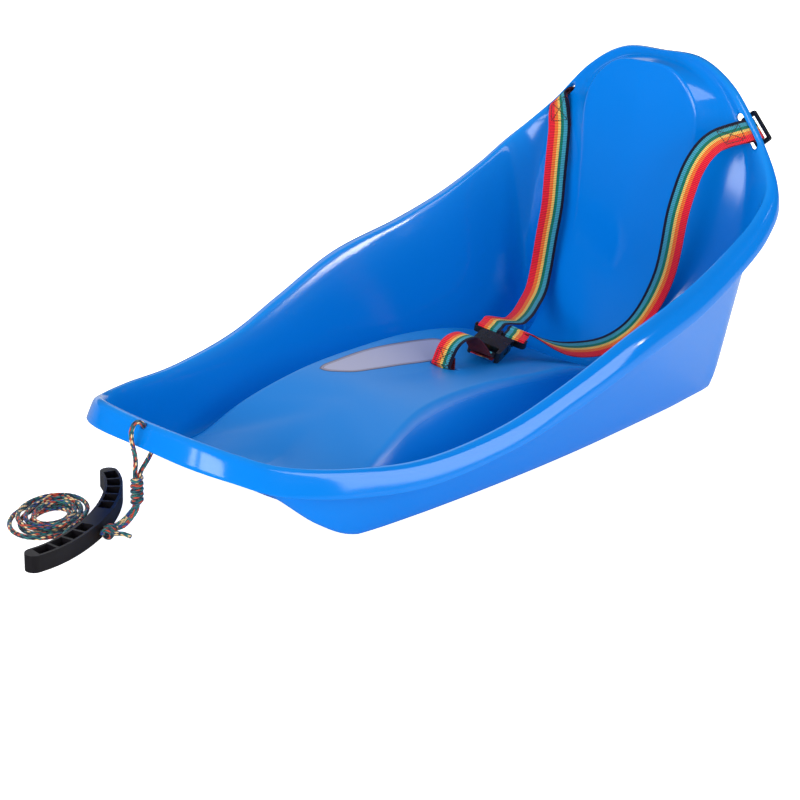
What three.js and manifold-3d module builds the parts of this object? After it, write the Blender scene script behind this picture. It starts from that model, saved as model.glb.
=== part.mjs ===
import * as THREE from "three";
import { mergeVertices } from "three/addons/utils/BufferGeometryUtils.js";
import Module from "manifold-3d";

// A toddler's pull sled: a moulded tub with a raised back, a three-strap harness
// and a tow rope. Millimetres, +Z up, nose towards -Y, +X on the child's left.

const wasm = await Module();
wasm.setup();

// The moulded shell
const sledLength = 739;
const sledWidth = 414;
const sledHeight = 350;
const wall = 3;
const flangeReach = 19;
const flangeDrop = 22;
const crestRadius = 4;
const footFillet = 23;
const shellColumns = 88;
const overrun = 20;

// Webbing and the cuts it passes through
const webbingWidth = 25;
const webbingThickness = 1.4;
const layerGap = 0.35;
const slotLength = 43;
const slotHeight = 8;
const crotchSlotLength = 32;

// Side-release buckle
const housingLength = 38;
const housingWidth = 36;
const housingThickness = 12;
const cavityHeight = 7;
const sideWall = 2.5;
const releaseLength = 10;
const mouthLength = 12;
const barRadius = 1.5;
const windowLength = 6;
const frameWidth = 59;
const frameThickness = 7;
const prongWidth = 3.5;
const guideWidth = 10;
const prongGap = 4;
const cheekEnd = 1;
const weldDepth = 1;
const sideSlack = 2;
const windowGap = 2;
const frameCorner = 4;
const neckCorner = 1;
const guideCorner = 2;
const shoulderDepth = 4;
const runningGap = 0.5;

// Webbing slides
const slideLength = 37;
const slideWidth = 20;
const slideThickness = 3.2;
const slideRail = 3.4;
const slideCorner = 3;

// How straps run beside a bar: straight lengths before and after it
const slideRun = 3;
const tongueRuns = [18, 11, 4];
const tongueTails = [4, 10];
const tongueLiftShare = 1 / 6;
const crotchTail = 9;
const housingRuns = [9, 4];
const housingTail = 5;
const crotchSettle = 1;

// Tow rope and its handle
const ropeDiameter = 4.2;
const ropeGap = 0.6;
const lipHole = 6;
const knotRadius = 3.75;
const nooseTurns = 5;
const handleKnotTurns = 3;
const coilTurns = 6;
const coilLength = 84;
const coilWidth = 66;
const coilEyeLength = 40;
const coilEyeWidth = 24;
const handleLength = 174;
const handleBow = 18.6;
const handleHook = 5;
const handleDepth = 16;
const handleHeight = 15;
const handleWall = 2.4;
const handlePockets = 11;
const bossShare = 0.08;

// Where the rope and the handle lie, in millimetres on the ground in front of the nose
const handlePlace = [-43.8, -397.1, 0];
const handleTurn = THREE.MathUtils.degToRad(-58);
const coilPlace = [-3, -25, 0];
const lowerDrift = [0, -6];
const upperDrift = [-3.5, -3.5];
const climbTurn = 0.25;
const lastTurnShare = 0.5;
const noosePlace = [-2, -368.6, 37.8];
const handleHole = 12;
const handleKnotPlace = [17, 32.4, 0];

const plastic = { shell: 0x2f86dd, black: 0x1b1b1f };
const material = (color, roughness) => new THREE.MeshStandardMaterial({ color, roughness, metalness: 0 });
const shellMaterial = material(plastic.shell, 0.25);
const blackMaterial = material(plastic.black, 0.45);
const webbingMaterial = material(0xe0784a, 0.85);
const ropeMaterial = material(0x4b8a86, 0.8);

// Stations from the middle of the nose (first) round one side to the top of the back (last).
// crest is the rim, foot the bottom edge of the outer wall, deck the shoulder of the raised
// middle: shares of half the width, of the length and of the height over the floor skin.
// spine is the middle line (length, height). flange gives the rim's turned-down edge:
// shares of its reach and drop, and how far out its shoulder stands.
const stationShares = [
  { crest: [0, 0.015, 0.272], foot: [0, 0.063, 0.178], deck: [0, 0.148, 0.043],
    spine: [0.207, 0.057], flange: [0.6, 0.78, 0.6] },
  { crest: [0.257, 0.021, 0.268], foot: [0.252, 0.066, 0.169], deck: [0.229, 0.15, 0.043],
    spine: [0.222, 0.068], flange: [0.6, 0.86, 0.6] },
  { crest: [0.427, 0.041, 0.25], foot: [0.45, 0.094, 0.12], deck: [0.358, 0.158, 0.043],
    spine: [0.243, 0.09], flange: [0.6, 0.86, 0.6] },
  { crest: [0.555, 0.076, 0.224], foot: [0.569, 0.132, 0.046], deck: [0.45, 0.179, 0.046],
    spine: [0.271, 0.117], flange: [0.6, 0.95, 0.65] },
  { crest: [0.674, 0.145, 0.201], foot: [0.628, 0.181, 0], deck: [0.45, 0.213, 0.063],
    spine: [0.299, 0.139], flange: [0.65, 0.95, 0.7] },
  { crest: [0.766, 0.246, 0.186], foot: [0.661, 0.261, 0], deck: [0.436, 0.278, 0.128],
    spine: [0.335, 0.161], flange: [0.75, 0.86, 0.75] },
  { crest: [0.826, 0.364, 0.216], foot: [0.683, 0.364, 0], deck: [0.385, 0.368, 0.186],
    spine: [0.387, 0.183], flange: [0.85, 0.78, 0.8] },
  { crest: [0.872, 0.467, 0.284], foot: [0.693, 0.477, 0], deck: [0.385, 0.477, 0.199],
    spine: [0.464, 0.178], flange: [0.9, 0.91, 0.85] },
  { crest: [0.904, 0.587, 0.375], foot: [0.688, 0.593, 0], deck: [0.422, 0.586, 0.186],
    spine: [0.56, 0.156], flange: [1, 0.99, 0.85] },
  { crest: [0.885, 0.715, 0.438], foot: [0.67, 0.721, 0], deck: [0.422, 0.685, 0.158],
    spine: [0.67, 0.123], flange: [1.05, 0.99, 0.85] },
  { crest: [0.862, 0.814, 0.506], foot: [0.647, 0.824, 0], deck: [0.486, 0.792, 0.084],
    spine: [0.772, 0.079], flange: [1, 0.95, 0.85] },
  { crest: [0.844, 0.896, 0.585], foot: [0.615, 0.934, 0], deck: [0.459, 0.873, 0.03],
    spine: [0.856, 0.041], flange: [0.9, 0.91, 0.85] },
  { crest: [0.798, 0.947, 0.67], foot: [0.656, 0.945, 0.32], deck: [0.321, 0.922, 0.32],
    spine: [0.911, 0.251], flange: [0.75, 0.78, 0.85] },
  { crest: [0.642, 0.978, 0.788], foot: [0.628, 0.964, 0.635], deck: [0.312, 0.937, 0.58],
    spine: [0.925, 0.484], flange: [0.5, 0.47, 0.85] },
  { crest: [0.45, 0.987, 0.917], foot: [0.44, 0.976, 0.859], deck: [0.344, 0.945, 0.826],
    spine: [0.931, 0.676], flange: [0.45, 0.39, 0.9] },
  { crest: [0.239, 0.988, 0.991], foot: [0.234, 0.976, 0.955], deck: [0.206, 0.945, 0.95],
    spine: [0.934, 0.813], flange: [0.45, 0.39, 0.9] },
  { crest: [0, 0.988, 0.999], foot: [0, 0.976, 0.98], deck: [0, 0.942, 0.971],
    spine: [0.937, 0.895], flange: [0.45, 0.39, 0.9] },
];
// How far the floor runs level from the foot before it climbs to the deck, per station
const floorRunShare = 0.5;
const noseRiseShares = [0.5, 0.5, 0.4, 0.2, 0, 0, 0, 0, 0, 0, 0, 0, 0.5, 0.5, 0.5, 0.5, 0.5];
// Places along a rib, from the flange's edge over the rim, down the wall and in to the spine
const ringShares = [0, 0.05, 0.1, 0.14, 0.18, 0.22, 0.27, 0.33, 0.37, 0.41, 0.46, 0.52, 0.57, 0.63,
  0.7, 0.76, 0.81, 0.86, 0.93, 1];

const vector = (x, y, z) => new THREE.Vector3(x, y, z);
const up = vector(0, 0, 1);

// A place in the sled from its shares of half the width, the length and the height.
function place([across, along, high]) {
  return vector((across * sledWidth) / 2, (along - 0.5) * sledLength, wall + high * (sledHeight - wall));
}

function closedLoop(rows) {
  const back = rows.slice(1, -1).reverse();
  return [...rows, ...back.map(([across, ...rest]) => [-across, ...rest])];
}

function closedValues(values) {
  return [...values, ...values.slice(1, -1).reverse()].map((value) => [value]);
}

// Uniform Catmull-Rom through a closed ring of rows at ring place t.
function alongRing(rows, t) {
  const start = Math.floor(t);
  const f = t - start;
  const pick = (k) => rows[(start + k + 2 * rows.length) % rows.length];
  const [a, b, c, d] = [pick(-1), pick(0), pick(1), pick(2)];
  return b.map((_, k) => {
    const square = 2 * a[k] - 5 * b[k] + 4 * c[k] - d[k];
    const cube = 3 * (b[k] - c[k]) + d[k] - a[k];
    return b[k] + (f * (c[k] - a[k]) + f * f * square + f * f * f * cube) / 2;
  });
}

const outline = {
  crest: closedLoop(stationShares.map((s) => s.crest)),
  foot: closedLoop(stationShares.map((s) => s.foot)),
  deck: closedLoop(stationShares.map((s) => s.deck)),
  spine: closedLoop(stationShares.map((s) => [0, ...s.spine])),
  reach: closedValues(stationShares.map((s) => s.flange[0])),
  drop: closedValues(stationShares.map((s) => s.flange[1])),
  shoulder: closedValues(stationShares.map((s) => s.flange[2])),
  rise: closedValues(noseRiseShares),
};
const stationCount = outline.crest.length;
const shareStep = 0.01;
const shoulderFallShare = 0.9;
const filletRiseShare = 0.45;
const climbShares = [0.3, 0.72];
const deckTurnShares = [0.16, 0.12];

// The control points of one rib of the top skin, flange edge first.
function ribControls(t) {
  const crest = place(alongRing(outline.crest, t));
  const foot = place(alongRing(outline.foot, t));
  foot.z = Math.max(foot.z, wall);
  const deck = place(alongRing(outline.deck, t));
  const spine = place(alongRing(outline.spine, t)).setX(0);
  const ahead = place(alongRing(outline.crest, t + shareStep));
  const behind = place(alongRing(outline.crest, t - shareStep));
  const run = ahead.sub(behind);
  const outward = vector(run.y, -run.x, 0).normalize();
  const reach = alongRing(outline.reach, t)[0] * flangeReach;
  const drop = alongRing(outline.drop, t)[0] * flangeDrop;
  const stand = alongRing(outline.shoulder, t)[0];
  const edge = crest.clone().addScaledVector(outward, reach).addScaledVector(up, -drop);
  const shoulder = crest.clone().addScaledVector(outward, reach * stand);
  shoulder.addScaledVector(up, -drop * (1 - stand) * shoulderFallShare);
  const across = edge.clone().sub(crest).normalize();
  across.sub(foot.clone().sub(crest).normalize()).normalize();
  const rise = crest.clone().sub(foot);
  const fillet = Math.min(footFillet, rise.length() * filletRiseShare);
  const floorRise = alongRing(outline.rise, t)[0];
  const level = foot.clone().lerp(deck, floorRunShare);
  level.z = foot.z + (deck.z - foot.z) * floorRise;
  return [
    edge,
    shoulder,
    crest.clone().addScaledVector(across, crestRadius),
    crest.clone().addScaledVector(across, -crestRadius),
    foot.clone().addScaledVector(rise.normalize(), fillet),
    foot,
    foot.clone().lerp(level, 0.5),
    level,
    level.clone().lerp(deck, climbShares[0]),
    level.clone().lerp(deck, climbShares[1]),
    deck,
    deck.clone().lerp(spine, deckTurnShares[0]),
    spine.clone().setX(deckTurnShares[1] * deck.x),
    spine,
  ];
}

// Clamped uniform quadratic B-spline over the control points, w from 0 to 1.
function alongRib(controls, w) {
  const spans = controls.length - 2;
  const x = Math.min(w * spans, spans - 1e-9);
  const i = Math.floor(x);
  const f = x - i;
  const [a, b, c] = controls.slice(i, i + 3);
  const start = i === 0 ? a.clone() : a.clone().lerp(b, 0.5);
  const end = i === spans - 1 ? c.clone() : b.clone().lerp(c, 0.5);
  const near = start.multiplyScalar((1 - f) * (1 - f));
  return near.addScaledVector(b, 2 * f * (1 - f)).addScaledVector(end, f * f);
}

const skinPoint = (t, w) => alongRib(ribControls(t), w);

// Outward normal of the top skin from central differences along and across it.
function skinNormal(t, w) {
  const inside = Math.min(w, 1 - shareStep);
  const along = skinPoint(t + shareStep, inside).sub(skinPoint(t - shareStep, inside));
  const lower = Math.max(inside - shareStep, 0);
  const across = skinPoint(t, inside + shareStep).sub(skinPoint(t, lower));
  const normal = along.cross(across);
  if (w === 1) normal.x = 0;
  return normal.normalize();
}

function solidGeometry(vertices, faces) {
  const geometry = new THREE.BufferGeometry();
  geometry.setAttribute("position", new THREE.Float32BufferAttribute(vertices.flatMap((v) => v.toArray()), 3));
  geometry.setIndex(faces.flat());
  return geometry;
}

function welded(geometry) {
  const plain = geometry.clone();
  plain.deleteAttribute("normal");
  plain.deleteAttribute("uv");
  return mergeVertices(plain, 1e-3);
}

function toManifold(geometry) {
  const merged = welded(geometry);
  const index = merged.index.array;
  const kept = [];
  for (let k = 0; k < index.length; k += 3) {
    const [a, b, c] = index.slice(k, k + 3);
    if (a !== b && b !== c && c !== a) kept.push(a, b, c);
  }
  const mesh = new wasm.Mesh({
    numProp: 3,
    vertProperties: new Float32Array(merged.attributes.position.array),
    triVerts: new Uint32Array(kept),
  });
  return new wasm.Manifold(mesh);
}

function fromManifold(solid) {
  const mesh = solid.getMesh();
  const geometry = new THREE.BufferGeometry();
  geometry.setAttribute("position", new THREE.Float32BufferAttribute(mesh.vertProperties, 3));
  geometry.setIndex([...mesh.triVerts]);
  return geometry;
}

// A box between two corners.
function boxBetween(low, high) {
  const size = low.map((v, k) => high[k] - v);
  const box = new THREE.BoxGeometry(...size);
  return box.translate(...low.map((v, k) => v + size[k] / 2));
}

function rod(radius, length, axis, sides = 16) {
  const cylinder = new THREE.CylinderGeometry(radius, radius, length, sides);
  if (axis === "x") cylinder.rotateZ(Math.PI / 2);
  if (axis === "z") cylinder.rotateX(Math.PI / 2);
  return cylinder;
}

const cut = (body, ...tools) => tools.reduce((rest, tool) => rest.subtract(toManifold(tool)), body);
const join = (first, ...rest) => rest.reduce((all, more) => all.add(toManifold(more)), toManifold(first));

// The shell: the top skin, and the same skin a wall's thickness below it, never under the ground.
function shellSolid() {
  const vertices = [];
  const rings = ringShares.length;
  for (let column = 0; column < shellColumns; column += 1) {
    const t = (column / shellColumns) * stationCount;
    for (const w of ringShares) {
      const top = skinPoint(t, w);
      if (w === 1) top.x = 0;
      const under = top.clone().addScaledVector(skinNormal(t, w), -wall);
      if (w === 1) under.x = 0;
      under.z = Math.max(under.z, 0);
      vertices.push(top, under);
    }
  }
  const faces = [];
  const at = (column, ring, side) => 2 * ((column % shellColumns) * rings + ring) + side;
  for (let column = 0; column < shellColumns; column += 1) {
    for (let ring = 0; ring < rings - 1; ring += 1) {
      for (const side of [0, 1]) {
        const a = at(column, ring, side);
        const b = at(column + 1, ring, side);
        const c = at(column + 1, ring + 1, side);
        const d = at(column, ring + 1, side);
        faces.push(...(side === 0 ? [[a, b, c], [a, c, d]] : [[a, c, b], [a, d, c]]));
      }
    }
    const [a, b] = [at(column, 0, 0), at(column + 1, 0, 0)];
    faces.push([a, a + 1, b + 1], [a, b + 1, b]);
  }
  return toManifold(solidGeometry(vertices, faces));
}

// The shoulder slots: centre as shares, leaning across the back's pocket.
const slotShares = [0.587, 0.976, 0.8];
const slotLean = THREE.MathUtils.degToRad(48);
const crotchSlotShare = 0.526;
const lipHoleShare = 0.11;

const slotCentre = (side) => {
  const centre = place(slotShares);
  return centre.setX(side * centre.x);
};
// Along the slot, towards its lower outer end, and square to it in the plane of the back.
const slotRun = (side) => vector(side * Math.cos(slotLean), 0, -Math.sin(slotLean));
const slotRise = (side) => vector(side * Math.sin(slotLean), 0, Math.cos(slotLean));

// The middle line's height at a share of the length.
function spinePoint(share, w = 1) {
  const steps = 400;
  let best = null;
  for (let k = 0; k <= steps; k += 1) {
    const point = skinPoint((k / steps) * (stationCount / 2), w);
    const miss = Math.abs(point.y - (share - 0.5) * sledLength);
    if (best === null || miss < best.miss) best = { point, miss };
  }
  return best.point.setX(0);
}
const crotchPoint = spinePoint(crotchSlotShare);

function slotTool(side) {
  const tool = new THREE.BoxGeometry(slotLength, 3 * overrun, slotHeight);
  tool.rotateY(side * slotLean);
  return tool.translate(...slotCentre(side).toArray());
}

function crotchSlotTool() {
  const tool = new THREE.BoxGeometry(crotchSlotLength, slotHeight, 2 * overrun);
  return tool.translate(...crotchPoint.toArray());
}

// The rope's hole goes square through the nose's flange and stops short of the wall behind it.
const lipPoint = skinPoint(0, lipHoleShare);
const lipNormal = skinNormal(0, lipHoleShare);
function lipHoleTool() {
  const tool = rod(lipHole / 2, 4 * wall, "y");
  tool.applyQuaternion(new THREE.Quaternion().setFromUnitVectors(vector(0, 1, 0), lipNormal));
  return tool.translate(...lipPoint.toArray());
}

const parts = new THREE.Group();
function addPart(name, geometry, look, holder = parts) {
  const mesh = new THREE.Mesh(geometry, look);
  mesh.name = name;
  holder.add(mesh);
  return mesh;
}

addPart(
  "sled_shell",
  fromManifold(cut(shellSolid(), slotTool(1), slotTool(-1), crotchSlotTool(), lipHoleTool())),
  shellMaterial,
);

// Webbing: a flat band through rows of { at, across }, where across points over its width.
function band(rows, spans = 2) {
  const path = [];
  for (let k = 0; k < rows.length - 1; k += 1) {
    const pick = (n) => rows[THREE.MathUtils.clamp(k + n, 0, rows.length - 1)];
    const steps = rows[k].fine ? 1 : spans;
    for (let s = 0; s < steps; s += 1) {
      const f = s / steps;
      const blend = (key) => {
        const [a, b, c, d] = [-1, 0, 1, 2].map((n) => pick(n)[key]);
        const square = a.clone().multiplyScalar(2).addScaledVector(b, -5).addScaledVector(c, 4).sub(d);
        const cube = b.clone().sub(c).multiplyScalar(3).add(d).sub(a);
        const slope = c.clone().sub(a);
        return b.clone().addScaledVector(slope, f / 2).addScaledVector(square, (f * f) / 2)
          .addScaledVector(cube, (f * f * f) / 2);
      };
      path.push({ at: blend("at"), across: blend("across").normalize() });
    }
  }
  path.push(rows[rows.length - 1]);
  const vertices = [];
  path.forEach(({ at, across }, k) => {
    const next = path[Math.min(k + 1, path.length - 1)].at;
    const last = path[Math.max(k - 1, 0)].at;
    const run = next.clone().sub(last).normalize();
    const side = across.clone().addScaledVector(run, -across.dot(run)).normalize();
    const face = run.clone().cross(side);
    for (const [u, v] of [[-1, -1], [1, -1], [1, 1], [-1, 1]]) {
      const corner = at.clone().addScaledVector(side, (u * webbingWidth) / 2);
      vertices.push(corner.addScaledVector(face, (v * webbingThickness) / 2));
    }
  });
  const faces = [[0, 2, 1], [0, 3, 2]];
  for (let k = 0; k < path.length - 1; k += 1) {
    for (let s = 0; s < 4; s += 1) {
      const a = 4 * k + s;
      const b = 4 * k + ((s + 1) % 4);
      faces.push([a, b, b + 4], [a, b + 4, a + 4]);
    }
  }
  const end = 4 * (path.length - 1);
  faces.push([end, end + 1, end + 2], [end, end + 2, end + 3]);
  return solidGeometry(vertices, faces);
}

// Half a turn of webbing round a bar: out and away are unit directions square to the bar,
// and the band comes in along -out on the away side and leaves on the other.
const wrapRadius = barRadius + layerGap + webbingThickness / 2;
function wrap(centre, out, away, across, turns = 8) {
  const rows = [];
  for (let k = 0; k <= turns; k += 1) {
    const angle = (k / turns) * Math.PI;
    const at = centre.clone().addScaledVector(away, wrapRadius * Math.cos(angle));
    at.addScaledVector(out, -wrapRadius * Math.sin(angle));
    rows.push({ at, across, fine: true });
  }
  return rows;
}

// The buckle's own frame: +Y from the housing to the tongue. The straps hold it just over the deck,
// with its tongue end up and its right side higher.
const buckleShares = [-0.018, 0.64, 0.184];
const buckleTurn = THREE.MathUtils.degToRad(18);
const buckleTilt = THREE.MathUtils.degToRad(8);
const buckleRoll = THREE.MathUtils.degToRad(12);
const buckle = new THREE.Group();
buckle.position.copy(place(buckleShares));
buckle.rotation.set(buckleTilt, buckleRoll, buckleTurn, "ZYX");
buckle.updateMatrixWorld();
parts.add(buckle);
const fromBuckle = (x, y, z) => buckle.localToWorld(vector(x, y, z));
const buckleAxis = (x, y, z) => vector(x, y, z).applyQuaternion(buckle.quaternion);

const housingFront = -(housingLength - mouthLength);
const frontBar = housingFront + barRadius + cheekEnd;
const windowWidth = webbingWidth + sideSlack;
const cavityFront = frontBar + barRadius + windowLength + sideWall;
const cavityWidth = housingWidth - 2 * sideWall;
const tongueFace = mouthLength + runningGap;
const tongueBar = tongueFace + shoulderDepth + windowLength + barRadius;
const tongueEnd = tongueBar + barRadius + cheekEnd;
const barPitch = windowWidth + windowGap;

function roundedPlate(width, front, back, thickness, corner) {
  const shape = new THREE.Shape();
  const half = width / 2;
  shape.moveTo(-half + corner, front);
  shape.lineTo(half - corner, front);
  shape.absarc(half - corner, front + corner, corner, -Math.PI / 2, 0);
  shape.lineTo(half, back - corner);
  shape.absarc(half - corner, back - corner, corner, 0, Math.PI / 2);
  shape.lineTo(-half + corner, back);
  shape.absarc(-half + corner, back - corner, corner, Math.PI / 2, Math.PI);
  shape.lineTo(-half, front + corner);
  shape.absarc(-half + corner, front + corner, corner, Math.PI, 1.5 * Math.PI);
  const plate = new THREE.ExtrudeGeometry(shape, { depth: thickness, bevelEnabled: false, curveSegments: 4 });
  return plate.translate(0, 0, -thickness / 2);
}

// A round bar along X at the given place, with room for webbing in front of it and behind.
function barWindows(body, x, y, thickness, front, back) {
  const low = boxBetween(
    [x - windowWidth / 2, y - barRadius - front, -thickness],
    [x + windowWidth / 2, y + barRadius + back, thickness],
  );
  const bar = rod(barRadius, windowWidth + weldDepth, "x", 12).translate(x, y, 0);
  return cut(body, low).add(toManifold(bar));
}

function housingGeometry() {
  let body = toManifold(roundedPlate(housingWidth, housingFront, mouthLength, housingThickness, frameCorner));
  const half = cavityWidth / 2;
  const high = cavityHeight / 2;
  body = cut(
    body,
    boxBetween([-half, cavityFront, -high], [half, mouthLength + overrun, high]),
    boxBetween([-half - overrun, -releaseLength, -high], [half + overrun, 0, high]),
  );
  body = barWindows(body, 0, frontBar, housingThickness, overrun, windowLength);
  return fromManifold(body);
}

function tongueGeometry() {
  const shoulder = tongueFace + shoulderDepth;
  const guideFront = cavityFront + weldDepth;
  const guideThickness = cavityHeight - 2 * runningGap;
  let body = toManifold(roundedPlate(frameWidth, shoulder - weldDepth, tongueEnd, frameThickness, frameCorner));
  const neck = roundedPlate(housingWidth, tongueFace, shoulder + weldDepth, frameThickness, neckCorner);
  const guide = roundedPlate(guideWidth, guideFront, tongueFace + weldDepth, guideThickness, guideCorner);
  body = body.add(toManifold(neck)).add(toManifold(guide));
  for (const side of [-1, 1]) {
    body = barWindows(body, (side * barPitch) / 2, tongueBar, frameThickness, windowLength, overrun);
  }
  return fromManifold(body);
}

// A prong: a springy arm with a shoulder that stands out through the housing's side opening.
function prongGeometry(side) {
  const inner = guideWidth / 2 + prongGap;
  const outer = inner + prongWidth;
  const nub = housingWidth / 2 - runningGap;
  const root = tongueFace - layerGap;
  const tip = -releaseLength + runningGap;
  const shape = new THREE.Shape();
  shape.moveTo(side * inner, root);
  shape.lineTo(side * outer, root);
  shape.lineTo(side * outer, -runningGap);
  shape.lineTo(side * nub, -runningGap);
  shape.lineTo(side * nub, tip / 2);
  shape.quadraticCurveTo(side * nub, tip, side * outer, tip);
  shape.lineTo(side * inner, tip);
  shape.closePath();
  const depth = cavityHeight - 2 * runningGap;
  const prong = new THREE.ExtrudeGeometry(shape, { depth, bevelEnabled: false, curveSegments: 4 });
  return prong.translate(0, 0, -depth / 2);
}

addPart("buckle_housing", housingGeometry(), blackMaterial, buckle);
addPart("buckle_tongue", tongueGeometry(), blackMaterial, buckle);
addPart("buckle_prong_left", prongGeometry(1), blackMaterial, buckle);
addPart("buckle_prong_right", prongGeometry(-1), blackMaterial, buckle);

// A webbing slide: a frame with a round middle bar, lying in the plane of run and rise.
function slideGeometry() {
  const plate = roundedPlate(slideLength, -slideWidth / 2, slideWidth / 2, slideThickness, slideCorner);
  const reach = slideWidth / 2 - slideRail - barRadius;
  return fromManifold(barWindows(toManifold(plate), 0, 0, slideThickness, reach, reach));
}

const backEdge = skinPoint(stationCount / 2, 0).y;
const slideBack = backEdge + layerGap + slideThickness / 2;
const slideCentre = (side) => slotCentre(side).setY(slideBack);

for (const [name, side] of [["shoulder_slide_left", 1], ["shoulder_slide_right", -1]]) {
  const slide = addPart(name, slideGeometry(), blackMaterial);
  const basis = new THREE.Matrix4();
  const run = slotRun(side);
  const rise = slotRise(side);
  basis.makeBasis(run, rise, run.clone().cross(rise));
  slide.quaternion.setFromRotationMatrix(basis);
  slide.position.copy(slideCentre(side));
}

// The crotch strap's slide lies level under the deck, against its underside.
const deckFall = spinePoint(crotchSlotShare + slideWidth / 2 / sledLength).z;
const crotchSlideCentre = crotchPoint.clone();
crotchSlideCentre.z = deckFall - wall - layerGap - slideThickness / 2;
addPart("crotch_slide", slideGeometry(), blackMaterial).position.copy(crotchSlideCentre);

// Shoulder straps. Shares of place, then the direction over the width, which points outwards.
const leftRouteShares = [
  [0.578, 0.959, 0.799, 0.66, 0, -0.75],
  [0.55, 0.942, 0.791, 0.7, -0.02, -0.7],
  [0.532, 0.918, 0.78, 0.78, 0, -0.6],
  [0.514, 0.898, 0.75, 0.86, 0.05, -0.42],
  [0.491, 0.884, 0.698, 0.93, 0.12, -0.2],
  [0.472, 0.877, 0.627, 0.96, 0.18, 0],
  [0.454, 0.873, 0.553, 0.96, 0.19, -0.1],
  [0.436, 0.877, 0.479, 0.95, 0.18, -0.15],
  [0.394, 0.888, 0.375, 0.94, 0.12, -0.25],
  [0.339, 0.893, 0.287, 0.92, 0, -0.35],
  [0.284, 0.889, 0.21, 0.88, -0.15, -0.4],
  [0.229, 0.876, 0.15, 0.83, -0.3, -0.42],
  [0.174, 0.843, 0.112, 0.78, -0.4, -0.45],
  [0.124, 0.798, 0.112, 0.78, -0.35, -0.42],
  [0.085, 0.749, 0.136, 0.88, -0.05, -0.3],
];
const rightRouteShares = [
  [0.57, 0.963, 0.785, 0.66, 0, -0.75],
  [0.537, 0.953, 0.758, 0.68, -0.15, -0.7],
  [0.505, 0.945, 0.717, 0.72, -0.3, -0.6],
  [0.482, 0.936, 0.676, 0.76, -0.5, -0.35],
  [0.463, 0.928, 0.635, 0.77, -0.6, -0.15],
  [0.445, 0.92, 0.553, 0.77, -0.64, 0],
  [0.427, 0.913, 0.471, 0.77, -0.64, 0],
  [0.431, 0.907, 0.388, 0.77, -0.64, 0],
  [0.427, 0.9, 0.306, 0.77, -0.64, 0],
  [0.42, 0.894, 0.265, 0.79, -0.6, 0.05],
  [0.385, 0.873, 0.205, 0.85, -0.5, 0.1],
  [0.339, 0.84, 0.182, 0.9, -0.42, 0.1],
  [0.284, 0.807, 0.17, 0.95, -0.3, 0.08],
  [0.243, 0.776, 0.168, 0.97, -0.25, 0.05],
  [0.206, 0.753, 0.175, 0.97, -0.25, 0.1],
];
const sewnGap = webbingThickness + layerGap;

function shoulderStrap(side, shares) {
  const run = slotRun(side);
  const rise = slotRise(side);
  const forward = vector(0, -1, 0);
  const bar = slideCentre(side);
  const mouth = slotCentre(side).y - wall;
  const row = (y, offset) => ({ at: vector(bar.x, y, bar.z).addScaledVector(rise, offset), across: run });
  const route = shares.map(([across, along, high, wx, wy, wz]) => {
    const at = place([across, along, high]);
    return { at: at.setX(side * at.x), across: vector(side * wx, wy, wz).normalize() };
  });
  const under = route.slice(0, 3).reverse().map(({ at, across }, k, all) => {
    const ahead = all[Math.max(k - 1, 0)].at;
    const behind = all[Math.min(k + 1, all.length - 1)].at;
    const face = ahead.clone().sub(behind).normalize().cross(across).multiplyScalar(side);
    return { at: at.clone().addScaledVector(face, -sewnGap), across };
  });
  const barSide = side * barPitch / 2;
  const last = buckleAxis(side, 0, 0);
  const intoBar = tongueRuns.map((d) => ({
    at: fromBuckle(barSide, tongueBar + d, wrapRadius + Math.max(d - tongueRuns[1], 0) * tongueLiftShare),
    across: last,
  }));
  const outOfBar = tongueTails.map((d) => ({ at: fromBuckle(barSide, tongueBar + d, -wrapRadius), across: last }));
  const rows = [
    ...under,
    row(mouth, -wrapRadius),
    row(bar.y - slideRun, -wrapRadius),
    ...wrap(bar, forward, rise.clone().negate(), run),
    row(bar.y - slideRun, wrapRadius),
    row(mouth, wrapRadius),
    ...route,
    ...intoBar,
    ...wrap(fromBuckle(barSide, tongueBar, 0), buckleAxis(0, 1, 0), buckleAxis(0, 0, 1), last),
    ...outOfBar,
  ];
  return band(rows);
}
addPart("shoulder_strap_left", shoulderStrap(1, leftRouteShares), webbingMaterial);
addPart("shoulder_strap_right", shoulderStrap(-1, rightRouteShares), webbingMaterial);

// The crotch strap rises from its slide through the deck and bends back to the housing's bar.
const crotchRouteShares = [
  [0, 0.523, 0.172],
  [0, 0.53, 0.2],
  [0.002, 0.537, 0.226],
  [0.006, 0.55, 0.243],
  [0.01, 0.565, 0.246],
  [0.014, 0.58, 0.239],
];
function crotchStrap() {
  const bar = crotchSlideCentre;
  const across = vector(-1, 0, 0);
  const row = (z, offset) => ({ at: vector(0, bar.y + offset, z), across });
  const deckTop = crotchPoint.z + wall;
  const route = crotchRouteShares.map((share) => ({ at: place(share), across }));
  const last = buckleAxis(-1, 0, 0);
  const rows = [
    row(deckTop + crotchTail, wrapRadius),
    row(deckTop, wrapRadius),
    row(bar.z + slideRun, wrapRadius),
    ...wrap(bar, up, vector(0, 1, 0), across),
    row(bar.z + slideRun, -wrapRadius),
    row(deckTop, -wrapRadius),
    ...route,
    { at: fromBuckle(0, frontBar - housingRuns[0], wrapRadius + crotchSettle), across: last },
    { at: fromBuckle(0, frontBar - housingRuns[1], wrapRadius), across: last },
    ...wrap(fromBuckle(0, frontBar, 0), buckleAxis(0, -1, 0), buckleAxis(0, 0, 1), last),
    { at: fromBuckle(0, frontBar - housingTail, -wrapRadius), across: last },
  ];
  return band(rows);
}
addPart("crotch_strap", crotchStrap(), webbingMaterial);

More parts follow.
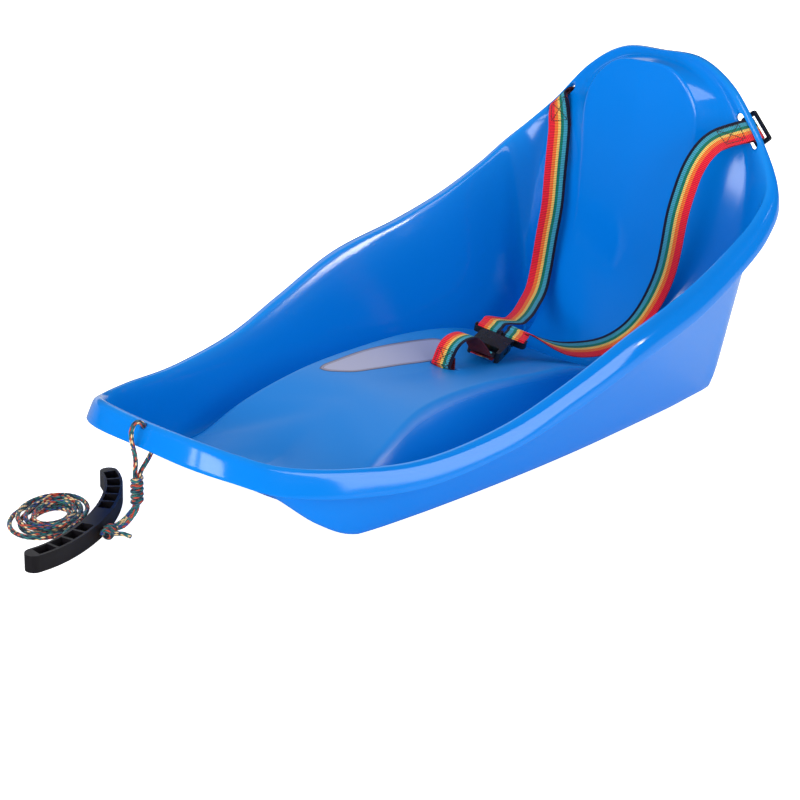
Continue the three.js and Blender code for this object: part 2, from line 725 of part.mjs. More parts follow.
// Rope. A tube through rings of points, with its sides set out from a steady reference direction.
function tubeThrough(points, reference, sides) {
  const vertices = [];
  points.forEach((point, k) => {
    const next = points[Math.min(k + 1, points.length - 1)];
    const last = points[Math.max(k - 1, 0)];
    const run = next.clone().sub(last).normalize();
    const side = run.clone().cross(reference).normalize();
    const rise = side.clone().cross(run);
    for (let s = 0; s < sides; s += 1) {
      const angle = (s / sides) * 2 * Math.PI;
      const out = side.clone().multiplyScalar(Math.cos(angle)).addScaledVector(rise, Math.sin(angle));
      vertices.push(point.clone().addScaledVector(out, ropeDiameter / 2));
    }
  });
  const faces = [];
  const end = sides * (points.length - 1);
  for (let k = 0; k < points.length - 1; k += 1) {
    for (let s = 0; s < sides; s += 1) {
      const a = sides * k + s;
      const b = sides * k + ((s + 1) % sides);
      faces.push([a, b + sides, b], [a, a + sides, b + sides]);
    }
  }
  for (let s = 1; s < sides - 1; s += 1) faces.push([0, s, s + 1], [end, end + s + 1, end + s]);
  return solidGeometry(vertices, faces);
}

// The least gap of a wound tube to itself, on points more than half a turn apart.
function leastGap(name, points, apart) {
  let least = Infinity;
  for (let k = 0; k < points.length; k += 1) {
    for (let m = k + apart; m < points.length; m += 1) {
      least = Math.min(least, points[k].distanceTo(points[m]) - ropeDiameter);
    }
  }
  console.log(`${name}: least gap to itself ${least.toFixed(2)} mm`);
}

const loopSteps = 24;
const loopSides = 6;

// A few tight turns round an axis, such as a knot's wraps.
function winding(name, middle, axis, turns) {
  const reference = Math.abs(axis.z) > 0.5 ? vector(1, 0, 0) : up;
  const u = axis.clone().cross(reference).normalize();
  const v = axis.clone().cross(u);
  const pitch = ropeDiameter + ropeGap;
  const points = [];
  for (let k = 0; k <= turns * loopSteps; k += 1) {
    const turn = k / loopSteps;
    const angle = turn * 2 * Math.PI;
    const point = middle.clone().addScaledVector(axis, (turn - turns / 2) * pitch);
    point.addScaledVector(u, knotRadius * Math.cos(angle)).addScaledVector(v, knotRadius * Math.sin(angle));
    points.push(point);
  }
  leastGap(name, points, loopSteps / 2);
  return tubeThrough(points, axis, loopSides);
}

// A loose length of rope through points chosen by hand.
function strand(points, steps) {
  const section = new THREE.Shape();
  section.absarc(0, 0, ropeDiameter / 2, 0, 2 * Math.PI);
  const path = new THREE.CatmullRomCurve3(points, false, "centripetal");
  return new THREE.ExtrudeGeometry(section, { steps, extrudePath: path, curveSegments: 8, bevelEnabled: false });
}

// The pull handle lies on the ground: local X along it, local Y towards its bowed outer side.
const handle = new THREE.Group();
handle.position.set(...handlePlace);
handle.rotation.z = handleTurn;
handle.updateMatrixWorld();
parts.add(handle);
const fromHandle = (x, y, z) => handle.localToWorld(vector(x, y, z));
const handleAxis = (x, y, z) => vector(x, y, z).applyQuaternion(handle.quaternion);

// A point beside the handle's middle line at share s of its half length, out to its bowed side.
function handleEdge(s, out) {
  const x = (s * handleLength) / 2;
  const y = handleBow * (1 - s * s) - handleHook * s ** 6;
  const slope = (-2 * handleBow * s - 6 * handleHook * s ** 5) / (handleLength / 2);
  const normal = new THREE.Vector2(-slope, 1).normalize();
  return new THREE.Vector2(x, y).addScaledVector(normal, out);
}

function handleStrip(from, to, half, steps, low, high) {
  const points = [];
  for (let k = 0; k <= steps; k += 1) points.push(handleEdge(from + ((to - from) * k) / steps, -half));
  for (let k = steps; k >= 0; k -= 1) points.push(handleEdge(from + ((to - from) * k) / steps, half));
  const strip = new THREE.ExtrudeGeometry(new THREE.Shape(points), { depth: high - low, bevelEnabled: false });
  return strip.translate(0, 0, low);
}

const ropeHeight = ropeDiameter / 2;
const holeShare = (2 * handleHole) / handleLength;
const knotHeight = knotRadius + ropeDiameter / 2 + layerGap;

function handleGeometry() {
  const half = handleDepth / 2;
  const ends = [-1, 1].map((s) => {
    const { x, y } = handleEdge(s, 0);
    return rod(half, handleHeight, "z", 20).translate(x, y, handleHeight / 2);
  });
  let body = join(handleStrip(-1, 1, half, 24, 0, handleHeight), ...ends);
  const pitch = 2 / handlePockets;
  const web = handleWall / handleLength;
  for (let k = 0; k < handlePockets; k += 1) {
    const from = -1 + k * pitch + web;
    const to = from + pitch - 2 * web;
    if (from < holeShare + bossShare && to > holeShare - bossShare) continue;
    body = cut(body, handleStrip(from, to, half - handleWall, 4, handleWall, handleHeight + overrun));
  }
  const hole = rod(lipHole / 2, 4 * handleDepth, "y").translate(handleHole, 0, knotHeight);
  return fromManifold(cut(body, hole));
}
addPart("pull_handle", handleGeometry(), blackMaterial, handle);

// The coil lies beside the handle: in from the outer turn, up a layer, and out again. Each layer's
// outer turns drift to one side, as in a rope that was laid down by hand.
const coilMiddle = fromHandle(...coilPlace);
function coilPoint(turn) {
  const half = coilTurns / 2;
  const inward = turn < half ? turn / half : 1 - (turn - half) / (half + lastTurnShare);
  const [driftAlong, driftOut] = turn < half ? lowerDrift : upperDrift;
  const long = (coilLength + (coilEyeLength - coilLength) * inward) / 2;
  const wide = (coilWidth + (coilEyeWidth - coilWidth) * inward) / 2;
  const layer = THREE.MathUtils.smoothstep(turn, half - climbTurn, half + climbTurn);
  const angle = Math.PI / 2 - turn * 2 * Math.PI;
  const along = long * Math.cos(angle) + driftAlong * (1 - inward);
  const out = wide * Math.sin(angle) + driftOut * (1 - inward);
  const point = coilMiddle.clone().addScaledVector(handleAxis(1, 0, 0), along);
  point.addScaledVector(handleAxis(0, 1, 0), out);
  return point.setZ(ropeHeight + layer * (ropeDiameter + ropeGap));
}
const coilStart = loopSteps / 8;
const coilPoints = [];
for (let k = coilStart; k <= coilTurns * loopSteps; k += 1) coilPoints.push(coilPoint(k / loopSteps));
leastGap("rope_coil", coilPoints, loopSteps / 2);
addPart("rope_coil", tubeThrough(coilPoints, up, loopSides), ropeMaterial);

// The wrapped knot hangs under the nose, and a second one sits against the handle.
const nooseMiddle = vector(...noosePlace);
addPart("noose_knot", winding("noose_knot", nooseMiddle, vector(0, 0, 1), nooseTurns), ropeMaterial);
const handleKnotMiddle = fromHandle(...handleKnotPlace).setZ(knotHeight);
const handleKnotAxis = handleAxis(1, 0, 0);
addPart("handle_knot", winding("handle_knot", handleKnotMiddle, handleKnotAxis, handleKnotTurns), ropeMaterial);

// The loop through the hole in the nose, from the knot's top behind the lip to its top in front.
const lipLoop = [
  [-0.5, -366.6, 54.4], [0.5, -363.5, 59], [0.5, -358, 65], [0, -353.5, 71], [0, -352.2, 78],
  [0, -354.5, 85], [0, -358.5, 91], [0, -362.2, 95.6], [0, -365.4, 98.8], [0, -369.2, 97.6],
  [0, -372, 92.5], [0, -372.5, 84], [1, -372, 75], [1, -371, 66], [-1, -371.2, 59], [-2, -371.2, 54.4],
].map((point) => vector(...point));
addPart("rope_lip_loop", strand(lipLoop, 40), ropeMaterial);

// Two strands run down from the wrapped knot to the knot beside the handle.
const leadLeft = [[-5, -369.4, 21.2], [-8.5, -371, 16], [-12.5, -373, 10], [-14, -376.5, 6.4]];
const leadRight = [[0, -370.8, 21.2], [-1.5, -374.5, 16], [-3, -379, 10.5], [-5.6, -382.6, 7.4]];
for (const [name, route] of [["rope_lead_left", leadLeft], ["rope_lead_right", leadRight]]) {
  addPart(name, strand(route.map((point) => vector(...point)), 8), ropeMaterial);
}

// Through the handle to the coil, and from the coil's top to the cut end, in the handle's own frame.
const through = [
  [handleHole, 25.4, knotHeight], [handleHole, 18, knotHeight], [handleHole, 10, 5.9], [13.5, 5.5, 3.8],
  [17, 1, 2.4], [22, -3, 2.3], [26.2, -6.9, 2.2],
].map((point) => fromHandle(...point));
addPart("rope_through", strand(through, 12), ropeMaterial);
const coilTop = ropeHeight + ropeDiameter + ropeGap;
const cutEnd = [
  [-3.8, 1.9, coilTop], [10, 1.2, coilTop], [24, -0.6, coilTop], [36, -1, 5.8], [46, -2.6, 2.8], [54, -5, 2.3],
].map((point) => fromHandle(...point));
addPart("rope_cut_end", strand(cutEnd, 10), ropeMaterial);
const tail = [[-1.2, -387.8, 5.5], [4, -386.8, 5.6], [10, -385.6, 5]].map((point) => vector(...point));
addPart("rope_tail", strand(tail, 4), ropeMaterial);

// The sled, without its rope, stands centred on the origin.
const sledBox = new THREE.Box3();
parts.traverse((node) => {
  const loose = node.name.includes("rope") || node.name.includes("knot") || node.name === "pull_handle";
  if (node.isMesh && !loose) sledBox.expandByObject(node, true);
});
parts.position.y = -(sledBox.min.y + sledBox.max.y) / 2;
parts.updateMatrixWorld(true);
console.log(`moved along Y by ${parts.position.y.toFixed(4)} mm`);

export default parts;
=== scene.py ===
# %% [markdown]
# # A toddler's pull sled
#
# The sled is one blue plastic shell with a high back, a three-strap harness of striped webbing, a black
# side-release buckle, and a short tow rope with a moulded handle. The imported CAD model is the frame: each
# piece here either dresses a CAD part where it stands or takes its place with a finer surface.

# %% Load the frame
import math

import bmesh
import bpy
import numpy as np
from mathutils import Matrix, Vector


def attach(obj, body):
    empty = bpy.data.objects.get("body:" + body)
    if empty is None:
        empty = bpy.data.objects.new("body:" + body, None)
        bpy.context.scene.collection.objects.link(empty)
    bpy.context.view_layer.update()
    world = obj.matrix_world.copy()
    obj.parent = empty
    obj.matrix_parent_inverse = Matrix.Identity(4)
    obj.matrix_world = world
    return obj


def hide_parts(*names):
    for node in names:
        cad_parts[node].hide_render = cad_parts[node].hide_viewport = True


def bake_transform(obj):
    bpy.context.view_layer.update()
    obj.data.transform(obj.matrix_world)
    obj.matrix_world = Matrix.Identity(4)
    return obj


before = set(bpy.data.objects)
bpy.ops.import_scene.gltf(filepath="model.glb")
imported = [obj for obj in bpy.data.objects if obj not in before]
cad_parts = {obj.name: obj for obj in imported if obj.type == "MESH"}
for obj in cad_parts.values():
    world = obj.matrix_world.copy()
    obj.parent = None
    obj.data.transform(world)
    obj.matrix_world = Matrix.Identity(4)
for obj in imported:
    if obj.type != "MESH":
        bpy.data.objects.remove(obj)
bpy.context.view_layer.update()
mm = 0.001
print("CAD nodes:", len(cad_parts))

# %% [markdown]
# ## The camera
#
# The photograph looks down on the sled's left side from the front. The place, turn and focal length come
# from a least-squares fit to points of the rim, the hull's lower edge, the slots, the rope's hole and the
# plate's tip, traced in both views. They stand here rounded.

# %% Camera
camera_place = (0.986, -1.170, 0.5925)
camera_turn_deg = (69.72, -2.64, 42.19)
camera_lens = 73.3

camera_data = bpy.data.cameras.new("camera")
camera_data.lens = camera_lens
camera_data.sensor_width = 36
camera = bpy.data.objects.new("camera", camera_data)
camera.location = camera_place
camera.rotation_euler = [math.radians(angle) for angle in camera_turn_deg]
bpy.context.scene.collection.objects.link(camera)
bpy.context.scene.camera = camera

# %% [markdown]
# ## Helpers for surfaces
#
# Every new piece is a grid of points worked out as one numpy array. A grid has a row index along the piece
# and a column index around it, and it may close on itself in either direction.

# %% Grid surfaces
def unit(vectors):
    """Each vector divided by its own length."""
    length = np.linalg.norm(vectors, axis=-1, keepdims=True)
    return vectors / np.maximum(length, 1e-9)


def grid_faces(rows, columns, close_rows=False, close_columns=False):
    """Quads between neighbouring rows and columns, as an array of vertex numbers."""
    i = np.arange(rows if close_rows else rows - 1)
    j = np.arange(columns if close_columns else columns - 1)
    i, j = np.meshgrid(i, j, indexing="ij")
    after_i, after_j = (i + 1) % rows, (j + 1) % columns
    corners = [i * columns + j, i * columns + after_j, after_i * columns + after_j, after_i * columns + j]
    return np.stack(corners, -1).reshape(-1, 4)


def mesh_piece(name, points, faces, uv=None):
    """An object at the origin from points in millimetres and the corner numbers of its faces."""
    mesh = bpy.data.meshes.new(name)
    faces = [list(face) for face in faces.tolist()] if isinstance(faces, np.ndarray) else faces
    mesh.from_pydata((np.asarray(points).reshape(-1, 3) * mm).tolist(), [], faces)
    if uv is not None:
        layer = mesh.uv_layers.new(name="UVMap")
        loops = np.empty(len(mesh.loops), int)
        mesh.loops.foreach_get("vertex_index", loops)
        layer.data.foreach_set("uv", np.asarray(uv).reshape(-1, 2)[loops].ravel())
    mesh.polygons.foreach_set("use_smooth", np.full(len(mesh.polygons), True))
    mesh.update()
    piece = bpy.data.objects.new(name, mesh)
    bpy.context.scene.collection.objects.link(piece)
    return piece


def point_value(piece, name, values):
    """Gives each point of the mesh a number that its material can read."""
    attribute = piece.data.attributes.new(name, "FLOAT", "POINT")
    attribute.data.foreach_set("value", np.asarray(values).ravel())


def faced_out(piece, weld=0.0):
    """Joins points that lie closer together than weld, in metres, and turns every face outward."""
    fix = bmesh.new()
    fix.from_mesh(piece.data)
    if weld:
        bmesh.ops.remove_doubles(fix, verts=fix.verts, dist=weld)
    bmesh.ops.recalc_face_normals(fix, faces=fix.faces)
    fix.to_mesh(piece.data)
    fix.free()


def cubic(a, b, c, d, f):
    """One span of a Catmull-Rom curve, from b to c: a cubic whose slope at a point is half the chord
    between that point's neighbours. f goes from 0 to 1."""
    return b + f / 2 * (c - a) + f**2 / 2 * (2 * a - 5 * b + 4 * c - d) + f**3 / 2 * (3 * (b - c) + d - a)


def through(points, per_span):
    """A Catmull-Rom curve through the points, with per_span places to each span."""
    p = np.asarray(points, float)
    p = np.concatenate([2 * p[:1] - p[1:2], p, 2 * p[-1:] - p[-2:-1]])
    t = np.arange(per_span) / per_span
    a, b, c, d = (p[k : len(p) - 3 + k, None] for k in range(4))
    curve = cubic(a, b, c, d, t[None, :, None])
    return np.concatenate([curve.reshape(-1, p.shape[1]), p[-2:-1]])


def arc_length(path):
    """How far along the path each of its points lies."""
    return np.concatenate([[0], np.cumsum(np.linalg.norm(np.diff(path, axis=0), axis=1))])


def evenly(path, step):
    """The same path with points a step apart, by arc length."""
    length = arc_length(path)
    count = max(int(round(length[-1] / step)), 2)
    at = np.linspace(0, length[-1], count + 1)
    return np.stack([np.interp(at, length, path[:, k]) for k in range(path.shape[1])], 1), at


# %% [markdown]
# ## Materials from shared effects
#
# The plastics, the thread, the foil and the floor all need the same two small things: a fine grain and a soft
# unevenness of colour. They are one node group with named inputs, built once and then placed in each
# material with its own values. The weave of the webbing, further down, is a second group.

# %% Node helpers
def new_group(name, inputs, outputs):
    """A node group with named sockets, and the two nodes at its ends."""
    group = bpy.data.node_groups.new(name, "ShaderNodeTree")
    for label, kind, value in inputs:
        socket = group.interface.new_socket(label, in_out="INPUT", socket_type=kind)
        if value is not None:
            socket.default_value = value
    for label, kind in outputs:
        group.interface.new_socket(label, in_out="OUTPUT", socket_type=kind)
    return group, group.nodes.new("NodeGroupInput"), group.nodes.new("NodeGroupOutput")


class Net:
    """Short words for adding nodes to a tree and joining them."""

    def __init__(self, tree):
        self.tree = tree

    def node(self, kind, **settings):
        node = self.tree.nodes.new(kind)
        for key, value in settings.items():
            setattr(node, key, value)
        return node

    def join(self, source, socket):
        if isinstance(source, (int, float, tuple, list)):
            socket.default_value = source
        else:
            self.tree.links.new(source, socket)

    def math(self, operation, a, b=0.0):
        node = self.node("ShaderNodeMath", operation=operation)
        for value, socket in zip((a, b), node.inputs):
            self.join(value, socket)
        return node.outputs[0]

    def mix(self, factor, a, b, blend="MIX"):
        node = self.node("ShaderNodeMix", data_type="RGBA", blend_type=blend)
        self.join(factor, node.inputs["Factor"])
        self.join(a, node.inputs["A"])
        self.join(b, node.inputs["B"])
        return node.outputs["Result"]

    def ramp(self, value, stops, interpolation="LINEAR"):
        node = self.node("ShaderNodeValToRGB")
        node.color_ramp.interpolation = interpolation
        elements = node.color_ramp.elements
        while len(elements) < len(stops):
            elements.new(0.5)
        for element, (position, colour) in zip(elements, stops):
            element.position = position
            element.color = colour if len(colour) == 4 else (*colour, 1)
        self.join(value, node.inputs[0])
        return node.outputs["Color"]

    def group(self, group, **values):
        node = self.node("ShaderNodeGroup", node_tree=group)
        for key, value in values.items():
            self.join(value, node.inputs[key.replace("_", " ")])
        return node


def grey(value):
    """An opaque grey as a colour of four numbers."""
    return (value, value, value, 1)


# %% Grain and clouding, used by the plastics, the thread, the foil and the floor
grain_group, grain_in, grain_out = new_group(
    "grain and clouding",
    [("Vector", "NodeSocketVector", None), ("Grain Scale", "NodeSocketFloat", 900.0),
     ("Grain Depth", "NodeSocketFloat", 0.2), ("Cloud Scale", "NodeSocketFloat", 9.0),
     ("Colour", "NodeSocketColor", grey(0.5)), ("Cloud Colour", "NodeSocketColor", grey(0.5)),
     ("Cloud Amount", "NodeSocketFloat", 0.5)],
    [("Colour", "NodeSocketColor"), ("Height", "NodeSocketFloat"), ("Cloud", "NodeSocketFloat")],
)
net = Net(grain_group)
fine = net.node("ShaderNodeTexNoise")
fine.inputs["Detail"].default_value = 3
net.join(grain_in.outputs["Vector"], fine.inputs["Vector"])
net.join(grain_in.outputs["Grain Scale"], fine.inputs["Scale"])
cloud = net.node("ShaderNodeTexNoise")
cloud.inputs["Detail"].default_value = 2
net.join(grain_in.outputs["Vector"], cloud.inputs["Vector"])
net.join(grain_in.outputs["Cloud Scale"], cloud.inputs["Scale"])
net.join(net.math("MULTIPLY", fine.outputs[0], grain_in.outputs["Grain Depth"]), grain_out.inputs["Height"])
amount = net.math("MULTIPLY", cloud.outputs[0], grain_in.outputs["Cloud Amount"])
clouded = net.mix(amount, grain_in.outputs["Colour"], grain_in.outputs["Cloud Colour"])
net.join(clouded, grain_out.inputs["Colour"])
net.join(cloud.outputs[0], grain_out.inputs["Cloud"])


# %% A blank material with its principled shader
def new_material(name):
    """A material with its node tree and its shader."""
    material = bpy.data.materials.new(name)
    material.use_nodes = True
    tree = material.node_tree
    shader = tree.nodes["Principled BSDF"]
    return material, Net(tree), shader


def set_shader(shader, **values):
    """Sets the shader's own sockets, named with underscores for spaces."""
    for key, value in values.items():
        shader.inputs[key.replace("_", " ")].default_value = value


def grained(net, **values):
    """The grain and clouding group with its own values, on the piece's own coordinates."""
    place = net.node("ShaderNodeTexCoord")
    return net.group(grain_group, Vector=place.outputs["Object"], **values)


def bump(net, shader, height, distance, strength=1.0):
    """Tilts the shader's normal as if the surface rose with the height, by up to the distance in metres."""
    node = net.node("ShaderNodeBump")
    node.inputs["Distance"].default_value = distance
    node.inputs["Strength"].default_value = strength
    net.join(height, node.inputs["Height"])
    net.join(node.outputs[0], shader.inputs["Normal"])


# %% [markdown]
# ## The tow rope
#
# The rope is a soft 4.2 mm braid in dark blue and teal with cream and rust flecks. It passes through a hole
# at the top of the nose, its two strands meet in a wrapped knot, run down to a second knot at the handle,
# and the rest lies in a loose flat coil on the ground, ending in a bare cut end, as the photograph shows.
# Most of the route's points are those of the CAD strands. It is then relaxed, so that the cord has no kink
# where the strands meet, and it runs on through both knots.

# %% Where the rope runs, in millimetres
sled_shift = np.array([0, -2.28, 0])
rope_diameter = 4.2
rope_gap = 0.6
knot_radius = 3.75
handle_turn = math.radians(-58)
handle_place = np.array([-43.8, -397.1, 0])
handle_run = np.array([math.cos(handle_turn), math.sin(handle_turn), 0])
handle_out = np.array([-math.sin(handle_turn), math.cos(handle_turn), 0])
knot_height = knot_radius + rope_diameter / 2 + 0.35
rope_height = rope_diameter / 2
coil_top = rope_height + rope_diameter + rope_gap
handle_hole = 12


def from_handle(points):
    """Points given along the handle, out from it and up, brought into the row frame."""
    p = np.asarray(points, float)
    return handle_place + p[:, :1] * handle_run + p[:, 1:2] * handle_out + p[:, 2:] * np.array([0, 0, 1])


front_loop = [(0, -361.4, 94.4), (0, -364, 98), (0, -367.4, 100.6), (0, -372, 100.4), (0, -375.4, 96.4),
              (0, -376.2, 90), (0.3, -375, 82), (1, -373, 74), (1, -371.4, 66), (-1, -371.2, 59),
              (-2, -370.6, 54)]
rear_loop = [(0, -361.6, 95), (0, -358.5, 91), (0, -354.5, 85), (0, -352.2, 78), (0, -353.5, 71),
             (0.5, -358, 65), (0.5, -363.5, 59), (-0.5, -366.4, 54)]
lead_left = [(-3.4, -369.2, 24), (-5, -369.4, 21.2), (-8.5, -371, 16), (-12.5, -373, 10), (-14, -376.5, 6.4)]
lead_right = [(-0.8, -369.4, 24), (0, -370.8, 21.2), (-1.5, -374.5, 16), (-3, -379, 10.5),
              (-5.6, -382.6, 7.4)]
turn_in_knot = [(-7.4, -388, 6.9), (-6.8, -392.4, 6.3), (-3.2, -393.4, 5.9), (0, -390, 5.6)]
tail = [(4, -387, 5.6), (10, -385.6, 5)]
through_handle = [(handle_hole, 25.4, knot_height), (handle_hole, 18, knot_height), (handle_hole, 10, 5.9),
                  (13.5, 5.5, 3.8), (17, 1, 2.4), (22, -3, 2.3), (26.2, -6.9, 2.2)]
cut_end = [(-3.8, 1.9, coil_top), (10, 1.2, coil_top), (24, -0.6, coil_top), (36, -1, 5.8),
           (46, -2.6, 2.8), (54, -5, 2.3)]

# %% The coil: inward over three turns on the ground, then outward over three turns on top
coil_turns, steps_per_turn = 6, 60
coil_sizes = np.array([84, 66])
coil_eye = np.array([40, 24])
coil_place = np.array([-3, -25])
lower_drift, upper_drift = np.array([0, -6]), np.array([-3.5, -3.5])


def coil_route(steps):
    """An ellipse whose half sizes shrink evenly to the eye and grow again one layer up. The outer turns
    of each layer drift to one side."""
    turn = np.linspace(1 / 8, coil_turns, steps)
    half = coil_turns / 2
    inward = np.where(turn < half, turn / half, 1 - (turn - half) / (half + 0.5))[:, None]
    drift = np.where((turn < half)[:, None], lower_drift, upper_drift) * (1 - inward)
    size = (coil_sizes + (coil_eye - coil_sizes) * inward) / 2
    climb = np.clip((turn - half + 0.25) / 0.5, 0, 1)
    height = rope_height + (3 * climb**2 - 2 * climb**3) * (rope_diameter + rope_gap)
    angle = math.pi / 2 - turn * 2 * math.pi
    flat = coil_place + drift + size * np.stack([np.cos(angle), np.sin(angle)], 1)
    return from_handle(np.column_stack([flat, height]))


# %% [markdown]
# A braid shows slanting picks that run both ways round the rope. The tube's radius carries them as real
# bumps, and the same two slanting coordinates pick each strand's colour and paint shade between the picks.

# %% A braided tube along a path
braid_strands = 12
braid_pitch = 31.0
braid_depth = 0.16


def braided(name, path, reference, sides=30, step=0.6):
    """A tube: each ring is a circle square to the path, its radius raised where two slanting waves cross.
    The along and around places are kept as the UV map, in braid pitches and in turns."""
    path, along = evenly(np.asarray(path, float), step)
    run = unit(np.gradient(path, axis=0))
    reference = np.asarray(reference, float)
    if reference.ndim == 2:
        share = np.linspace(0, 1, len(reference))
        reference = np.stack([np.interp(along / along[-1], share, reference[:, k]) for k in range(3)], 1)
    side = unit(np.cross(run, reference))
    rise = np.cross(side, run)
    around = np.arange(sides) / sides
    u = along[:, None] / braid_pitch + 0 * around
    v = around + 0 * u
    wave = np.abs(np.sin(math.pi * (braid_strands / 2 * v + braid_strands / 2 * u)))
    cross = np.abs(np.sin(math.pi * (braid_strands / 2 * v - braid_strands / 2 * u)))
    radius = rope_diameter / 2 - braid_depth * (1 - wave * cross)
    turn = 2 * math.pi * around
    ring = np.cos(turn)[None, :, None] * side[:, None] + np.sin(turn)[None, :, None] * rise[:, None]
    points = path[:, None] + radius[..., None] * ring + sled_shift
    points = np.concatenate([points, points[:, :1]], 1)
    uv = np.stack([np.concatenate([u, u[:, :1]], 1), np.concatenate([v, v[:, :1] + 1], 1)], -1)
    rows, columns = points.shape[:2]
    flat = points.reshape(-1, 3)
    faces = grid_faces(rows, columns)[:, ::-1].tolist()
    ends = np.stack([path[0], path[-1]]) + sled_shift
    flat = np.concatenate([flat, ends])
    uv = np.concatenate([uv.reshape(-1, 2), [uv[0, 0], uv[-1, 0]]])
    ring_numbers = np.arange(columns - 1)
    first, last = rows * columns, rows * columns + 1
    faces += np.stack([ring_numbers, ring_numbers + 1, 0 * ring_numbers + first], 1).tolist()
    top = (rows - 1) * columns
    faces += np.stack([top + ring_numbers + 1, top + ring_numbers, 0 * ring_numbers + last], 1).tolist()
    piece = mesh_piece(name, flat, faces, uv)
    faced_out(piece, weld=1e-6)
    return piece, (path + sled_shift) * mm, along[-1] * mm


def winding(middle, axis, start, turns, steps=24):
    """A helix round an axis, a rope's width plus a gap from turn to turn."""
    axis = unit(np.asarray(axis, float))
    u = unit(np.cross(axis, start))
    v = np.cross(axis, u)
    turn = np.linspace(0, turns, int(turns * steps) + 1)[:, None]
    lift = (turn - turns / 2) * (rope_diameter + rope_gap) * axis
    angle = 2 * math.pi * turn
    return np.asarray(middle) + lift + knot_radius * (np.cos(angle) * u + np.sin(angle) * v)


# %% The rope's own material: strand colours from a small table of chances, and painted shade between picks
rope_material, net, shader = new_material("braided rope")
place = net.node("ShaderNodeUVMap", uv_map="UVMap")
parts = net.node("ShaderNodeSeparateXYZ")
net.join(place.outputs[0], parts.inputs[0])
half_strands = braid_strands / 2
slant_a = net.math("MULTIPLY", net.math("ADD", parts.outputs[1], parts.outputs[0]), half_strands)
slant_b = net.math("MULTIPLY", net.math("SUBTRACT", parts.outputs[1], parts.outputs[0]), half_strands)
cell_a = net.math("FLOOR", slant_a)
cell_b = net.math("FLOOR", slant_b)
over = net.math("FLOORED_MODULO", net.math("ADD", cell_a, cell_b), 2.0)
strand_a = net.math("FLOORED_MODULO", cell_a, half_strands)
strand_b = net.math("ADD", net.math("FLOORED_MODULO", cell_b, half_strands), 20.0)
strand = net.math("ADD", net.math("MULTIPLY", strand_a, over),
                  net.math("MULTIPLY", strand_b, net.math("SUBTRACT", 1.0, over)))
blocks = net.math("FLOOR", net.math("MULTIPLY", parts.outputs[0], 0.9))
chance = net.node("ShaderNodeTexWhiteNoise", noise_dimensions="2D")
pair = net.node("ShaderNodeCombineXYZ")
net.join(strand, pair.inputs[0])
net.join(blocks, pair.inputs[1])
net.join(pair.outputs[0], chance.inputs["Vector"])
rope_colours = [(0.0, (0.004, 0.012, 0.04)), (0.2, (0.003, 0.09, 0.12)), (0.42, (0.01, 0.17, 0.16)),
                (0.58, (0.5, 0.05, 0.02)), (0.76, (0.85, 0.58, 0.28)), (0.92, (0.015, 0.05, 0.25))]
colour = net.ramp(chance.outputs[0], rope_colours, "CONSTANT")
frac_a = net.math("FRACT", slant_a)
frac_b = net.math("FRACT", slant_b)
dome = net.math("MULTIPLY", net.math("SINE", net.math("MULTIPLY", frac_a, math.pi)),
                net.math("SINE", net.math("MULTIPLY", frac_b, math.pi)))
# Painted shade: the colour is darkened to a quarter towards each pick's edges, standing in for the shade in
# the gaps between picks. The same dome also drives the bump.
shade = net.ramp(dome, [(0.0, (0.25, 0.25, 0.25)), (0.35, (1, 1, 1))])
net.join(net.mix(1.0, colour, shade, "MULTIPLY"), shader.inputs["Base Color"])
set_shader(shader, Roughness=0.62, Sheen_Weight=0.25, Specular_IOR_Level=0.35)
bump(net, shader, dome, 0.0004, 0.6)

# %% [markdown]
# The photograph doesn't show how the two knots are tied, so each is a plain winding with the strands led
# through it. A limp cord has no sharp corners, so the route is relaxed until they open.

# %% Lay the rope
def relaxed(path, rounds):
    """Each point moves half way to the middle of its neighbours, round after round, and the ends stay put,
    so that tight corners open as they do in a limp rope."""
    path = np.array(path, float)
    for _ in range(rounds):
        path[1:-1] += 0.5 * ((path[:-2] + path[2:]) / 2 - path[1:-1])
    return path


rope_steps, front_rounds, rear_rounds = 12, 150, 60
noose_middle = np.array([-2, -368.6, 37.8])
handle_knot_middle = from_handle([(17, 32.4, knot_height)])[0]
noose, _, _ = braided("noose_wraps", winding(noose_middle, (0, 0, 1), (1, 0, 0), 5), (0, 0, 1))
handle_knot, _, _ = braided(
    "handle_knot_wraps", winding(handle_knot_middle, handle_run, (0, 0, 1), 3), handle_run
)
inside_noose = [(-3, -369.2, 44), (-3.2, -368.8, 34)]
knot_pass = [(-13.2, -384, 6.3), (-14.4, -389.6, 6.2)]
first_run = relaxed(through(front_loop + inside_noose + lead_left + knot_pass
                            + [tuple(p) for p in from_handle(through_handle)], rope_steps), front_rounds)
coil = coil_route(coil_turns * steps_per_turn)
last_run = through([tuple(coil[-4])] + [tuple(p) for p in from_handle(cut_end)], rope_steps)
rope_route = np.concatenate([first_run, coil[2:-4], last_run[1:]])
rope, rope_path, rope_length = braided(
    "tow_rope", rope_route, [(1, 0, 0.02), (1, 0, 0.05)] + [(0, 0, 1)] * 16,
)
rear_route = relaxed(through(rear_loop + [(-1.2, -368, 44), (-1, -368.4, 34)] + lead_right
                             + turn_in_knot + tail, rope_steps), rear_rounds)
rear_rope, rear_path, rear_length = braided(
    "tow_rope_return", rear_route, [(1, 0, 0.02), (1, 0, 0.05), (0.6, 0, 0.8), (0, 0, 1)]
)
print("tow rope:", round(rope_length, 3), "m, return strand:", round(rear_length, 3), "m")
for piece in (noose, handle_knot, rope, rear_rope):
    piece.data.materials.append(rope_material)
    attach(piece, "sled")
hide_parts("noose_knot")
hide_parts("handle_knot")
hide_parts("rope_through", "rope_coil", "rope_cut_end", "rope_lead_left", "rope_lip_loop")
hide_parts("rope_lead_right", "rope_tail")

